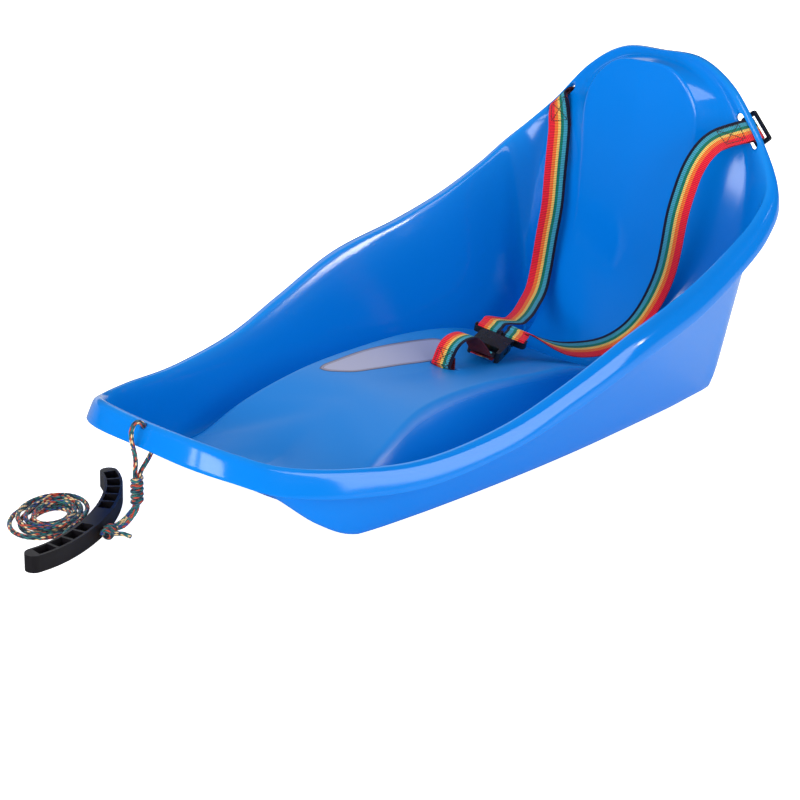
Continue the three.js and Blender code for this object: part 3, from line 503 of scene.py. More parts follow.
# %% [markdown]
# ## The shell
#
# The real shell is one sheet of polyethylene with a rolled rim. Its shape runs round the tub as a ring of
# ribs: each rib starts at the rim's outer lip, goes over the crest, down the wall, across the well, up onto
# the middle hump and ends on the centre line. The CAD solid uses the same ribs, but this surface has many
# more of them, so that the gloss runs smoothly. The stations were set in millimetres against the photograph
# and divided by the sled's sizes with a small converter.

# %% Rib stations from the nose round to the top of the back, as shares of half width, length and height
sled_length, sled_width, sled_height, wall = 739, 414, 350, 3
flange_reach, flange_drop, crest_radius, foot_fillet = 19, 22, 4, 23
station_shares = np.array([
    [0, 0.015, 0.272, 0, 0.063, 0.178, 0, 0.148, 0.043, 0.207, 0.057, 0.6, 0.78, 0.6, 0.5],
    [0.257, 0.021, 0.268, 0.252, 0.066, 0.169, 0.229, 0.15, 0.043, 0.222, 0.068, 0.6, 0.86, 0.6, 0.5],
    [0.427, 0.041, 0.25, 0.45, 0.094, 0.12, 0.358, 0.158, 0.043, 0.243, 0.09, 0.6, 0.86, 0.6, 0.4],
    [0.555, 0.076, 0.224, 0.569, 0.132, 0.046, 0.45, 0.179, 0.046, 0.271, 0.117, 0.6, 0.95, 0.65, 0.2],
    [0.674, 0.145, 0.201, 0.628, 0.181, 0, 0.45, 0.213, 0.063, 0.299, 0.139, 0.65, 0.95, 0.7, 0],
    [0.766, 0.246, 0.186, 0.661, 0.261, 0, 0.436, 0.278, 0.128, 0.335, 0.161, 0.75, 0.86, 0.75, 0],
    [0.826, 0.364, 0.216, 0.683, 0.364, 0, 0.385, 0.368, 0.186, 0.387, 0.183, 0.85, 0.78, 0.8, 0],
    [0.872, 0.467, 0.284, 0.693, 0.477, 0, 0.385, 0.477, 0.199, 0.464, 0.178, 0.9, 0.91, 0.85, 0],
    [0.904, 0.587, 0.375, 0.688, 0.593, 0, 0.422, 0.586, 0.186, 0.56, 0.156, 1, 0.99, 0.85, 0],
    [0.885, 0.715, 0.438, 0.67, 0.721, 0, 0.422, 0.685, 0.158, 0.67, 0.123, 1.05, 0.99, 0.85, 0],
    [0.862, 0.814, 0.506, 0.647, 0.824, 0, 0.486, 0.792, 0.084, 0.772, 0.079, 1, 0.95, 0.85, 0],
    [0.844, 0.896, 0.585, 0.615, 0.934, 0, 0.459, 0.873, 0.03, 0.856, 0.041, 0.9, 0.91, 0.85, 0],
    [0.798, 0.947, 0.67, 0.656, 0.945, 0.32, 0.321, 0.922, 0.32, 0.911, 0.251, 0.75, 0.78, 0.85, 0.5],
    [0.642, 0.978, 0.788, 0.628, 0.964, 0.635, 0.312, 0.937, 0.58, 0.925, 0.484, 0.5, 0.47, 0.85, 0.5],
    [0.45, 0.987, 0.917, 0.44, 0.976, 0.859, 0.344, 0.945, 0.826, 0.931, 0.676, 0.45, 0.39, 0.9, 0.5],
    [0.239, 0.988, 0.991, 0.234, 0.976, 0.955, 0.206, 0.945, 0.95, 0.934, 0.813, 0.45, 0.39, 0.9, 0.5],
    [0, 0.988, 0.999, 0, 0.976, 0.98, 0, 0.942, 0.971, 0.937, 0.895, 0.45, 0.39, 0.9, 0.5],
])
floor_run_share, wall_begins, wall_ends, crown_share = 0.5, 0.3, 0.72, 0.16
shoulder_share, fillet_most, spine_half_width = 0.9, 0.45, 0.12
crest, foot, deck = station_shares[:, 0:3], station_shares[:, 3:6], station_shares[:, 6:9]
spine = np.column_stack([np.zeros(len(station_shares)), station_shares[:, 9:11]])
flange, nose_rise = station_shares[:, 11:14], station_shares[:, 14:15]


def place_in_sled(share):
    """A place from its shares of half the width, of the length and of the height over the floor's wall."""
    size = np.array([sled_width / 2, sled_length, sled_height - wall])
    return share * size + np.array([0, -sled_length / 2, wall])


def ring_of(values, mirrored):
    """The left side's stations followed by the right side's, so that the ring closes on itself."""
    back = values[-2:0:-1].copy()
    if mirrored:
        back[:, 0] *= -1
    return np.concatenate([values, back])


def along_ring(values, t):
    """Catmull-Rom round the closed ring: t counts stations, and each span is a cubic."""
    start = np.floor(t).astype(int)
    f = (t - start)[:, None]
    a, b, c, d = (values[(start + k) % len(values)] for k in (-1, 0, 1, 2))
    return cubic(a, b, c, d, f)


crest_ring, foot_ring, deck_ring, spine_ring = (ring_of(v, True) for v in (crest, foot, deck, spine))
flange_ring, rise_ring = ring_of(flange, False), ring_of(nose_rise, False)
station_count = len(crest_ring)
up = np.array([0, 0, 1.0])


def rib_controls(t):
    """The fourteen control points of each rib, from the lip's edge to the centre line."""
    top = place_in_sled(along_ring(crest_ring, t))
    base = place_in_sled(along_ring(foot_ring, t))
    base[:, 2] = np.maximum(base[:, 2], wall)
    rise_to = place_in_sled(along_ring(deck_ring, t))
    middle = place_in_sled(along_ring(spine_ring, t))
    middle[:, 0] = 0
    run = place_in_sled(along_ring(crest_ring, t + 0.01)) - place_in_sled(along_ring(crest_ring, t - 0.01))
    outward = unit(np.stack([run[:, 1], -run[:, 0], 0 * run[:, 0]], 1))
    reach, drop, stand = (along_ring(flange_ring, t)[:, k : k + 1] for k in range(3))
    reach, drop = reach * flange_reach, drop * flange_drop
    edge = top + outward * reach - up * drop
    shoulder = top + outward * reach * stand - up * drop * (1 - stand) * shoulder_share
    across = unit(unit(edge - top) - unit(base - top))
    climb = top - base
    fillet = np.minimum(foot_fillet, np.linalg.norm(climb, axis=1, keepdims=True) * fillet_most)
    level = base + (rise_to - base) * floor_run_share
    level[:, 2] = base[:, 2] + (rise_to[:, 2] - base[:, 2]) * along_ring(rise_ring, t)[:, 0]
    near_spine = middle.copy()
    near_spine[:, 0] = spine_half_width * rise_to[:, 0]
    return np.stack([
        edge, shoulder, top + across * crest_radius, top - across * crest_radius, base + unit(climb) * fillet,
        base, (base + level) / 2, level, level + (rise_to - level) * wall_begins,
        level + (rise_to - level) * wall_ends, rise_to, rise_to + (middle - rise_to) * crown_share,
        near_spine, middle,
    ], 1)


def along_rib(controls, w):
    """Clamped uniform quadratic B-spline: each span blends three neighbouring control points."""
    spans = controls.shape[1] - 2
    x = np.clip(w * spans, 0, spans - 1e-9)
    i = np.floor(x).astype(int)
    f = (x - i)[None, :, None]
    a, b, c = (controls[:, i + k] for k in range(3))
    start = np.where((i == 0)[None, :, None], a, (a + b) / 2)
    end = np.where((i == spans - 1)[None, :, None], c, (b + c) / 2)
    return start * (1 - f) ** 2 + 2 * b * f * (1 - f) + end * f**2


# %% The top skin and the underside a wall's thickness below it
shell_columns = 320
ring_shares = np.interp(np.linspace(0, 1, 105), np.linspace(0, 1, 20),
                        [0, 0.05, 0.1, 0.14, 0.18, 0.22, 0.27, 0.33, 0.37, 0.41, 0.46, 0.52, 0.57, 0.63,
                         0.7, 0.76, 0.81, 0.86, 0.93, 1])
shell_t = np.arange(shell_columns) / shell_columns * station_count
top_skin = along_rib(rib_controls(shell_t), ring_shares)
top_skin[:, -1, 0] = 0
column_before, column_after = np.roll(top_skin, 1, 0), np.roll(top_skin, -1, 0)
skin_normal = np.cross(column_after - column_before, np.gradient(top_skin, axis=1))
skin_normal[:, -1] = skin_normal[:, -2]
skin_normal[:, -1, 0] = 0
skin_normal = unit(skin_normal)
under_skin = top_skin - wall * skin_normal
under_skin[:, -1, 0] = 0
under_skin[..., 2] = np.maximum(under_skin[..., 2], 0)
print("skin points:", top_skin.shape)

# %% Close the two skins over a rounded lip
lip_rows = 5
lip_angle = np.linspace(0, math.pi, lip_rows + 2)[1:-1]
lip_middle = (top_skin[:, 0] + under_skin[:, 0]) / 2
lip_half = (top_skin[:, 0] - under_skin[:, 0]) / 2
lip_out = unit(top_skin[:, 0] - top_skin[:, 1]) * wall / 2 * 0.9
lip = lip_middle[:, None] - np.cos(lip_angle)[None, :, None] * lip_half[:, None]
lip = lip + np.sin(lip_angle)[None, :, None] * lip_out[:, None]
section = np.concatenate([under_skin[:, ::-1], lip, top_skin], 1)
rib_place = np.concatenate([ring_shares[::-1], np.zeros(lip_rows), ring_shares])
skin_side = np.concatenate([np.zeros(len(ring_shares) + lip_rows), np.ones(len(ring_shares))])
rows, columns = section.shape[:2]
shell = mesh_piece("shell", section + sled_shift, grid_faces(rows, columns, close_rows=True)[:, ::-1])
floor_mask = np.interp(rib_place, [0.6, 0.72, 0.8, 1], [0, 0.25, 1, 1]) * skin_side
before_back = np.interp(section[..., 1], [225, 262], [1, 0])
point_value(shell, "floor", floor_mask[None] * before_back)
# This mask marks the band along the rim where a painted highlight makes the plastic paler.
crest_highlight_mask = np.exp(-(((rib_place - 0.17) / 0.05) ** 2)) * skin_side
point_value(shell, "crest", np.broadcast_to(crest_highlight_mask, (rows, columns)))
faced_out(shell, weld=1e-5)
print("shell faces:", len(shell.data.polygons))

# %% [markdown]
# The shoulder slots, the crotch slot and the rope's hole are cut with rounded cutters, as punches would do
# it, so their ends are half round where the CAD solid has square ones.

# %% Cut the slots and the hole
slot_length, slot_height, crotch_slot_length, rope_hole = 43, 8, 32, 6
slot_lean = math.radians(48)
slot_centre = place_in_sled(np.array([0.587, 0.976, 0.8]))


def slot_axes(side):
    """The directions along a shoulder slot and square to it, on the left side (1) or the right (-1)."""
    run = np.array([side * math.cos(slot_lean), 0, -math.sin(slot_lean)])
    rise = np.array([side * math.sin(slot_lean), 0, math.cos(slot_lean)])
    return run, rise


def stadium(length, width, steps=10):
    """A flat outline: two half circles joined by straight sides."""
    angle = np.linspace(-math.pi / 2, math.pi / 2, steps)
    right = np.stack([np.cos(angle), np.sin(angle)], 1) * width / 2 + [(length - width) / 2, 0]
    return np.concatenate([right, -right])


def cutter(name, outline, centre, run, rise, depth):
    """The outline pushed through along the third direction, half the depth each way."""
    through_axis = np.cross(run, rise)
    flat = centre + outline[:, :1] * run + outline[:, 1:] * rise
    points = np.stack([flat - through_axis * depth / 2, flat + through_axis * depth / 2])
    count = len(outline)
    faces = grid_faces(2, count, close_columns=True).tolist()
    faces += [list(range(count))[::-1], list(range(count, 2 * count))]
    piece = mesh_piece(name, points + sled_shift, faces)
    faced_out(piece)
    return piece


slot_cut_depth, crotch_cut_depth, hole_cut_depth = 50, 30, 14
crotch_share = 0.526
cutters = []
for side in (1, -1):
    run, rise = slot_axes(side)
    centre = slot_centre * [side, 1, 1]
    cutters.append(cutter("slot_cutter", stadium(slot_length, slot_height), centre, run, rise,
                          slot_cut_depth))
middle_line = top_skin[: shell_columns // 2, -1]
crotch_y = (crotch_share - 0.5) * sled_length
crotch_at = middle_line[np.argmin(np.abs(middle_line[:, 1] - crotch_y))]
cutters.append(cutter("crotch_cutter", stadium(crotch_slot_length, slot_height), crotch_at,
                      np.array([1.0, 0, 0]), np.array([0, 1.0, 0]), crotch_cut_depth))
lip_controls = rib_controls(np.array([-0.01, 0, 0.01]))
lip_points = along_rib(lip_controls, np.array([0.1, 0.11, 0.12]))
lip_at = lip_points[1, 1]
lip_normal = unit(np.cross(lip_points[2, 1] - lip_points[0, 1], lip_points[1, 2] - lip_points[1, 0]))
lip_rise = unit(np.cross(lip_normal, np.array([1.0, 0, 0])))
cutters.append(cutter("hole_cutter", stadium(rope_hole, rope_hole - 0.01), lip_at,
                      np.array([1.0, 0, 0]), lip_rise, hole_cut_depth))
print("hole at", lip_at.round(1), "facing", lip_normal.round(2))
for tool in cutters:
    cut = shell.modifiers.new("cut", "BOOLEAN")
    cut.operation = "DIFFERENCE"
    cut.solver = "EXACT"
    cut.object = tool
bpy.context.view_layer.update()
cut_mesh = bpy.data.meshes.new_from_object(shell.evaluated_get(bpy.context.evaluated_depsgraph_get()))
shell.modifiers.clear()
shell.data = cut_mesh
for tool in cutters:
    bpy.data.objects.remove(tool)
shell.data.materials.clear()

# %% [markdown]
# The plastic is glossy on its walls and finely textured on the floor, and a painted highlight makes it a
# little paler along the crest. The two places where it changes are numbers on the mesh's points, because they
# follow the shell's own form.

# %% Blue polyethylene: glossy walls, a finely textured floor, a painted highlight along the crest
shell_material, net, shader = new_material("blue polyethylene")
floor_value = net.node("ShaderNodeAttribute", attribute_name="floor")
crest_highlight_value = net.node("ShaderNodeAttribute", attribute_name="crest")
plastic = grained(net, Grain_Scale=1400.0, Grain_Depth=1.0, Cloud_Scale=7.0, Cloud_Amount=0.8,
                  Colour=(0.0, 0.185, 0.67, 1), Cloud_Colour=(0.0, 0.2, 0.71, 1))
textured = net.mix(net.math("MULTIPLY", floor_value.outputs["Fac"], 0.6), plastic.outputs["Colour"],
                   (0.001, 0.205, 0.60, 1))
# Painted highlight: along the crest the colour is mixed towards a paler blue, standing in for the white sheen
# that the rim reflects.
pale = net.mix(net.math("MULTIPLY", crest_highlight_value.outputs["Fac"], 0.4), textured, (0.02, 0.30, 0.82, 1))
net.join(pale, shader.inputs["Base Color"])
wear = net.math("MULTIPLY", plastic.outputs["Cloud"], 0.06)
rough = net.math("ADD", net.math("MULTIPLY", floor_value.outputs["Fac"], 0.26), 0.09)
net.join(net.math("ADD", rough, wear), shader.inputs["Roughness"])
depth = net.math("MULTIPLY", plastic.outputs["Height"],
                 net.math("ADD", net.math("MULTIPLY", floor_value.outputs["Fac"], 0.95), 0.05))
bump(net, shader, depth, 0.0003, 0.5)
set_shader(shader, Specular_IOR_Level=0.45)
shell.data.materials.append(shell_material)
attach(shell, "sled")
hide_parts("sled_shell")

# %% [markdown]
# ## The harness webbing
#
# Three flat straps share one build. A strap is a list of rows, each a place on its middle line and the
# direction across it. A Catmull-Rom curve runs through the rows, and round a bar they lie on a half circle.
# Each strap goes through its own slot, slide and buckle bar.

# %% Sizes that the straps share
webbing_width, webbing_thickness, layer_gap, bar_radius = 25, 1.4, 0.35, 1.5
wrap_radius = bar_radius + layer_gap + webbing_thickness / 2
housing_length, mouth_length, window_length, running_gap = 38, 12, 6, 0.5
shoulder_depth, slide_thickness, slide_width = 4, 3.2, 20
cheek_end = 1
front_bar = mouth_length - housing_length + bar_radius + cheek_end
tongue_bar = mouth_length + running_gap + shoulder_depth + window_length + bar_radius
bar_pitch = webbing_width + 4
buckle_place = place_in_sled(np.array([-0.018, 0.64, 0.184]))
buckle_turn = Matrix.Rotation(math.radians(18), 3, "Z") @ Matrix.Rotation(math.radians(12), 3, "Y")
buckle_turn = np.array(buckle_turn @ Matrix.Rotation(math.radians(8), 3, "X"))
buckle_x, buckle_y, buckle_z = buckle_turn.T


def from_buckle(x, y, z):
    """A place in the buckle's own frame, brought into the sled's."""
    return buckle_place + x * buckle_x + y * buckle_y + z * buckle_z


def half_wrap(centre, out, away, turns=24):
    """Half a turn round a bar, coming in on the away side and leaving on the other."""
    angle = np.linspace(0, math.pi, turns + 1)[:, None]
    return centre + wrap_radius * (np.cos(angle) * np.asarray(away) - np.sin(angle) * np.asarray(out))


smoothing_rounds, strap_steps = 40, 12


def strap_path(parts):
    """Joins (places, directions across, fine) parts into one smooth middle line. A fine part is kept as it
    is. Elsewhere each row moves half way to the middle of its neighbours, some tens of times, which takes
    out kinks as stiff webbing does."""
    parts = [(np.reshape(places, (-1, 3)), side, flag) for places, side, flag in parts]
    at = np.concatenate([places for places, _, _ in parts])
    across = np.concatenate([np.broadcast_to(side, places.shape) for places, side, _ in parts])
    fine = np.concatenate([np.full(len(places), flag) for places, _, flag in parts])
    rows = np.concatenate([at, across], 1)
    padded = np.concatenate([rows[:1], rows, rows[-1:]])
    steps = np.where(fine[:-1], 1, strap_steps)
    span = np.repeat(np.arange(len(steps)), steps)
    f = np.concatenate([np.arange(count) / count for count in steps])[:, None]
    a, b, c, d = (padded[span + k] for k in range(4))
    curve = np.concatenate([cubic(a, b, c, d, f), rows[-1:]])
    free = np.concatenate([np.repeat(~(fine[:-1] | fine[1:]), steps), [False]])
    free[:1] = False
    for _ in range(smoothing_rounds):
        curve[1:-1][free[1:-1]] += 0.5 * ((curve[:-2] + curve[2:]) / 2 - curve[1:-1])[free[1:-1]]
    place, side = curve[:, :3], curve[:, 3:]
    run = unit(np.gradient(place, axis=0))
    side = unit(side - np.sum(side * run, axis=1, keepdims=True) * run)
    return {"place": place, "side": side, "face": np.cross(run, side), "length": arc_length(place)}


# %% The band's cross-section: flat faces, round selvages, UV in webbing widths
band_columns = 30


def webbing(name, path, first=0, last=None, colour_side=1):
    """A closed band along the path, with its ends capped. colour_side says which face shows the stripes."""
    part = slice(first, last)
    place, side, face, length = (path[key][part] for key in ("place", "side", "face", "length"))
    face = face * colour_side
    half, lift = webbing_width / 2, webbing_thickness / 2
    flat = np.linspace(-half + lift, half - lift, band_columns)
    turn = np.linspace(math.pi / 2, -math.pi / 2, 7)[1:-1]
    edge = np.stack([half - lift + lift * np.cos(turn), lift * np.sin(turn)], 1)
    top = np.stack([flat, np.full(band_columns, lift)], 1)
    outline = np.concatenate([top, edge, top[::-1] * [1, -1], edge[::-1] * [-1, 1]])
    points = place[:, None] + outline[None, :, :1] * side[:, None] + outline[None, :, 1:] * face[:, None]
    rows, columns = points.shape[:2]
    u = np.broadcast_to(length[:, None] / webbing_width, (rows, columns))
    v = np.broadcast_to(outline[None, :, 0] / webbing_width + 0.5, (rows, columns))
    faces = grid_faces(rows, columns, close_columns=True).tolist()
    faces += [list(range(columns)), list(range((rows - 1) * columns, rows * columns))[::-1]]
    piece = mesh_piece(name, points + sled_shift, faces, np.stack([u, v], -1))
    reverse = np.broadcast_to(outline[None, :, 1] < 0, (rows, columns)).astype(float)
    point_value(piece, "reverse", reverse)
    faced_out(piece)
    return piece


# %% [markdown]
# Each shoulder strap starts sewn under itself, goes back through the slot in the backrest, round the slide's
# bar, forward through the slot again and down over the seat to its own bar of the buckle's tongue.

# %% Shoulder straps: each row is a place, as shares of the sled's sizes, and a direction across
left_route = np.array([
    [0.578, 0.959, 0.799, 0.66, 0, -0.75],
    [0.55, 0.942, 0.791, 0.7, -0.02, -0.7],
    [0.532, 0.918, 0.78, 0.78, 0, -0.6],
    [0.514, 0.898, 0.75, 0.86, 0.05, -0.42],
    [0.491, 0.884, 0.698, 0.93, 0.12, -0.2],
    [0.472, 0.877, 0.627, 0.96, 0.18, 0],
    [0.454, 0.873, 0.553, 0.96, 0.19, -0.1],
    [0.436, 0.877, 0.479, 0.95, 0.18, -0.15],
    [0.394, 0.888, 0.375, 0.94, 0.12, -0.25],
    [0.339, 0.893, 0.287, 0.92, 0, -0.35],
    [0.284, 0.889, 0.21, 0.88, -0.15, -0.4],
    [0.229, 0.876, 0.15, 0.83, -0.3, -0.42],
    [0.174, 0.843, 0.112, 0.78, -0.4, -0.45],
    [0.124, 0.798, 0.112, 0.78, -0.35, -0.42],
    [0.085, 0.749, 0.136, 0.88, -0.05, -0.3],
])
right_route = np.array([
    [0.57, 0.963, 0.785, 0.7, -0.3, -0.62],
    [0.537, 0.953, 0.758, 0.72, -0.5, -0.45],
    [0.505, 0.945, 0.717, 0.74, -0.58, -0.32],
    [0.482, 0.936, 0.676, 0.76, -0.62, -0.2],
    [0.463, 0.928, 0.635, 0.77, -0.63, -0.1],
    [0.445, 0.92, 0.553, 0.77, -0.64, 0],
    [0.427, 0.913, 0.471, 0.77, -0.64, 0],
    [0.431, 0.907, 0.388, 0.77, -0.64, 0],
    [0.427, 0.9, 0.306, 0.77, -0.64, 0],
    [0.42, 0.894, 0.265, 0.79, -0.6, 0.05],
    [0.385, 0.873, 0.205, 0.85, -0.5, 0.1],
    [0.339, 0.84, 0.182, 0.9, -0.42, 0.1],
    [0.284, 0.807, 0.17, 0.95, -0.3, 0.08],
    [0.243, 0.776, 0.168, 0.97, -0.25, 0.05],
    [0.206, 0.753, 0.175, 0.97, -0.25, 0.1],
])
sewn_gap = webbing_thickness + layer_gap
bar_lead = 3
run_in, run_out, run_in_rise = (18, 11, 4), (4, 10), 6
back_edge = along_rib(rib_controls(np.array([station_count / 2])), np.array([0.0]))[0, 0, 1]
slide_back = back_edge + layer_gap + slide_thickness / 2


def shoulder_strap(side, route):
    """The strap's middle line, and the row where it leaves the slot for the second time."""
    run, rise = slot_axes(side)
    bar = slot_centre * [side, 1, 1]
    bar[1] = slide_back
    mouth = slot_centre[1] - wall
    at = place_in_sled(route[:, :3]) * [side, 1, 1]
    across = unit(route[:, 3:] * [side, 1, 1])
    near, near_across = at[2::-1], across[2::-1]
    ahead, behind = near[[0, 0, 1]], near[[1, 2, 2]]
    under_face = np.cross(unit(ahead - behind), near_across) * side
    under = near - under_face * sewn_gap
    turned = side * bar_pitch / 2
    into_bar = [from_buckle(turned, tongue_bar + d, wrap_radius + max(d - run_in[1], 0) / run_in_rise)
                for d in run_in]
    out_of_bar = [from_buckle(turned, tongue_bar + d, -wrap_radius) for d in run_out]
    back_bar = from_buckle(turned, tongue_bar, 0)
    lift = rise * wrap_radius
    at_mouth, at_bar = np.array([bar[0], mouth, bar[2]]), np.array([bar[0], bar[1] - bar_lead, bar[2]])
    behind_slot, before_slot = [at_mouth - lift, at_bar - lift], [at_bar + lift, at_mouth + lift]
    last = side * buckle_x
    wrap = half_wrap(bar, np.array([0, -1.0, 0]), -rise)
    path = strap_path([
        (under, near_across, False), (behind_slot, run, False), (wrap, run, True), (before_slot, run, False),
        (at, across, False), (into_bar, last, False), (half_wrap(back_bar, buckle_y, buckle_z), last, True),
        (out_of_bar, last, False),
    ])
    middle = path["place"]
    past_wrap = np.argmax(middle[:, 1])
    leaves = past_wrap + np.argmin(np.linalg.norm(middle[past_wrap:] - before_slot[1], axis=1))
    return path, leaves


# %% [markdown]
# The webbing has six coloured bands on its face and is plain wine red on its back. Two families of rounded
# ridges make the weave: fine ones along the strap, and stronger ones across it, with painted shade in the
# gaps between them.

# %% The weave and its colours
weave_group, weave_in, weave_out = new_group(
    "woven threads",
    [("Vector", "NodeSocketVector", None), ("Warp Threads", "NodeSocketFloat", 22.0),
     ("Weft Picks", "NodeSocketFloat", 18.0), ("Colour", "NodeSocketColor", grey(0.5)),
     ("Gap Shade Colour", "NodeSocketColor", grey(0.1))],
    [("Colour", "NodeSocketColor"), ("Height", "NodeSocketFloat")],
)
net = Net(weave_group)
parts = net.node("ShaderNodeSeparateXYZ")
net.join(weave_in.outputs["Vector"], parts.inputs[0])
warp = net.math("MULTIPLY", parts.outputs[1], weave_in.outputs["Warp Threads"])
weft = net.math("MULTIPLY", parts.outputs[0], weave_in.outputs["Weft Picks"])
warp_round = net.math("ABSOLUTE", net.math("SINE", net.math("MULTIPLY", warp, math.pi)))
weft_round = net.math("ABSOLUTE", net.math("SINE", net.math("MULTIPLY", weft, math.pi)))
thread = net.math("ADD", 0.75, net.math("MULTIPLY", warp_round, 0.25))
height = net.math("MULTIPLY", thread, net.math("POWER", weft_round, 1.1))
fuzz = net.node("ShaderNodeTexNoise")
fuzz.inputs["Scale"].default_value = 160
fuzz.inputs["Detail"].default_value = 3
net.join(weave_in.outputs["Vector"], fuzz.inputs["Vector"])
rough_height = net.math("ADD", height, net.math("MULTIPLY", fuzz.outputs[0], 0.35))
net.join(rough_height, weave_out.inputs["Height"])
# Painted shade: where the picks dip, the colour is mixed towards the gap shade colour, standing in for the
# shade between threads.
solid = net.math("MULTIPLY", height, 1.9)
woven = net.mix(solid, weave_in.outputs["Gap Shade Colour"], weave_in.outputs["Colour"])
net.join(woven, weave_out.inputs["Colour"])

webbing_material, net, shader = new_material("striped webbing")
place = net.node("ShaderNodeUVMap", uv_map="UVMap")
parts = net.node("ShaderNodeSeparateXYZ")
net.join(place.outputs[0], parts.inputs[0])
stripe_colours = [(0.0, (0.004, 0.006, 0.03)), (0.13, (0.05, 0.36, 0.50)), (0.3, (0.003, 0.20, 0.13)),
                  (0.43, (0.95, 0.60, 0.14)), (0.55, (1.0, 0.19, 0.035)), (0.7, (0.92, 0.014, 0.04))]
stripes = net.ramp(parts.outputs[1], stripe_colours, "CONSTANT")
reverse_side = net.node("ShaderNodeAttribute", attribute_name="reverse")
two_sided = net.mix(reverse_side.outputs["Fac"], stripes, (0.16, 0.008, 0.02, 1))
weave = net.group(weave_group, Vector=place.outputs[0], Colour=two_sided, Warp_Threads=20.0, Weft_Picks=13.0)
# The gap shade colour is the stripe darkened to a tenth: painted shade for the gaps between picks.
net.join(net.mix(0.9, two_sided, (0, 0, 0, 1)), weave.inputs["Gap Shade Colour"])
net.join(weave.outputs["Colour"], shader.inputs["Base Color"])
set_shader(shader, Roughness=0.8, Sheen_Weight=0.06, Specular_IOR_Level=0.2)
bump(net, shader, weave.outputs["Height"], 0.0006, 0.9)

# %% Lay the three straps
straps = {}
for name, side, route in (("left", 1, left_route), ("right", -1, right_route)):
    path, leaves = shoulder_strap(side, route)
    straps[name] = path, leaves
    back_loop = webbing(f"shoulder_strap_{name}_back_loop", path, 0, leaves + 1, side)
    front = webbing(f"shoulder_strap_{name}_front", path, leaves, None, side)
    for piece in (back_loop, front):
        piece.data.materials.append(webbing_material)
        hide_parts(f"shoulder_strap_{name}")
    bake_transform(back_loop)
    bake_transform(front)
    print(name, "strap:", round(path["length"][-1]), "mm")

crotch_route = place_in_sled(np.array([
    [0, 0.523, 0.172], [0, 0.53, 0.2], [0.002, 0.537, 0.226], [0.006, 0.55, 0.243], [0.01, 0.565, 0.246],
    [0.014, 0.58, 0.239],
]))
deck_fall_y = crotch_y + slide_width / 2
deck_fall = np.interp(deck_fall_y, middle_line[:, 1], middle_line[:, 2])
crotch_bar = np.array([0, crotch_at[1], deck_fall - wall - layer_gap - slide_thickness / 2])
deck_top = crotch_at[2] + wall
sewn_rise = 9


def crotch_row(z, offset):
    """A place on the crotch strap's middle line: a height, and how far it lies behind its bar's middle."""
    return [0, crotch_bar[1] + offset, z]


across = np.array([-1.0, 0, 0])
crotch_path = strap_path([
    ([crotch_row(deck_top + sewn_rise, wrap_radius), crotch_row(deck_top, wrap_radius),
      crotch_row(crotch_bar[2] + bar_lead, wrap_radius)], across, False),
    (half_wrap(crotch_bar, np.array([0, 0, 1.0]), np.array([0, 1.0, 0])), across, True),
    ([crotch_row(crotch_bar[2] + bar_lead, -wrap_radius), crotch_row(deck_top, -wrap_radius)],
     across, False),
    (crotch_route, across, False),
    ([from_buckle(0, front_bar - 9, wrap_radius + 1), from_buckle(0, front_bar - 4, wrap_radius)],
     -buckle_x, False),
    (half_wrap(from_buckle(0, front_bar, 0), -buckle_y, buckle_z), -buckle_x, True),
    ([from_buckle(0, front_bar - 5, -wrap_radius)], -buckle_x, False),
])
crotch = webbing("crotch_strap_band", crotch_path)
crotch.data.materials.append(webbing_material)
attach(crotch, "sled")
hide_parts("crotch_strap")

# %% [markdown]
# Black thread sews each strap to itself in a box with a cross. A stitch is a small closed capsule whose ends
# dip into the weave. All of a strap's stitches are worked out together, as one array of rings.

# %% Stitch thread
thread_material, net, shader = new_material("black thread")
thread = grained(net, Grain_Scale=2600.0, Grain_Depth=0.6, Colour=(0.012, 0.011, 0.013, 1),
                 Cloud_Colour=(0.03, 0.028, 0.03, 1))
net.join(thread.outputs["Colour"], shader.inputs["Base Color"])
set_shader(shader, Roughness=0.6, Sheen_Weight=0.15)
bump(net, shader, thread.outputs["Height"], 0.0001, 0.5)
stitch_length, stitch_pitch, stitch_radius = 2.5, 2.8, 0.55
stitch_inset = 3.5
shoulder_box_start, shoulder_box_length = 7, 27
crotch_box_start, crotch_box_length = 2, 16


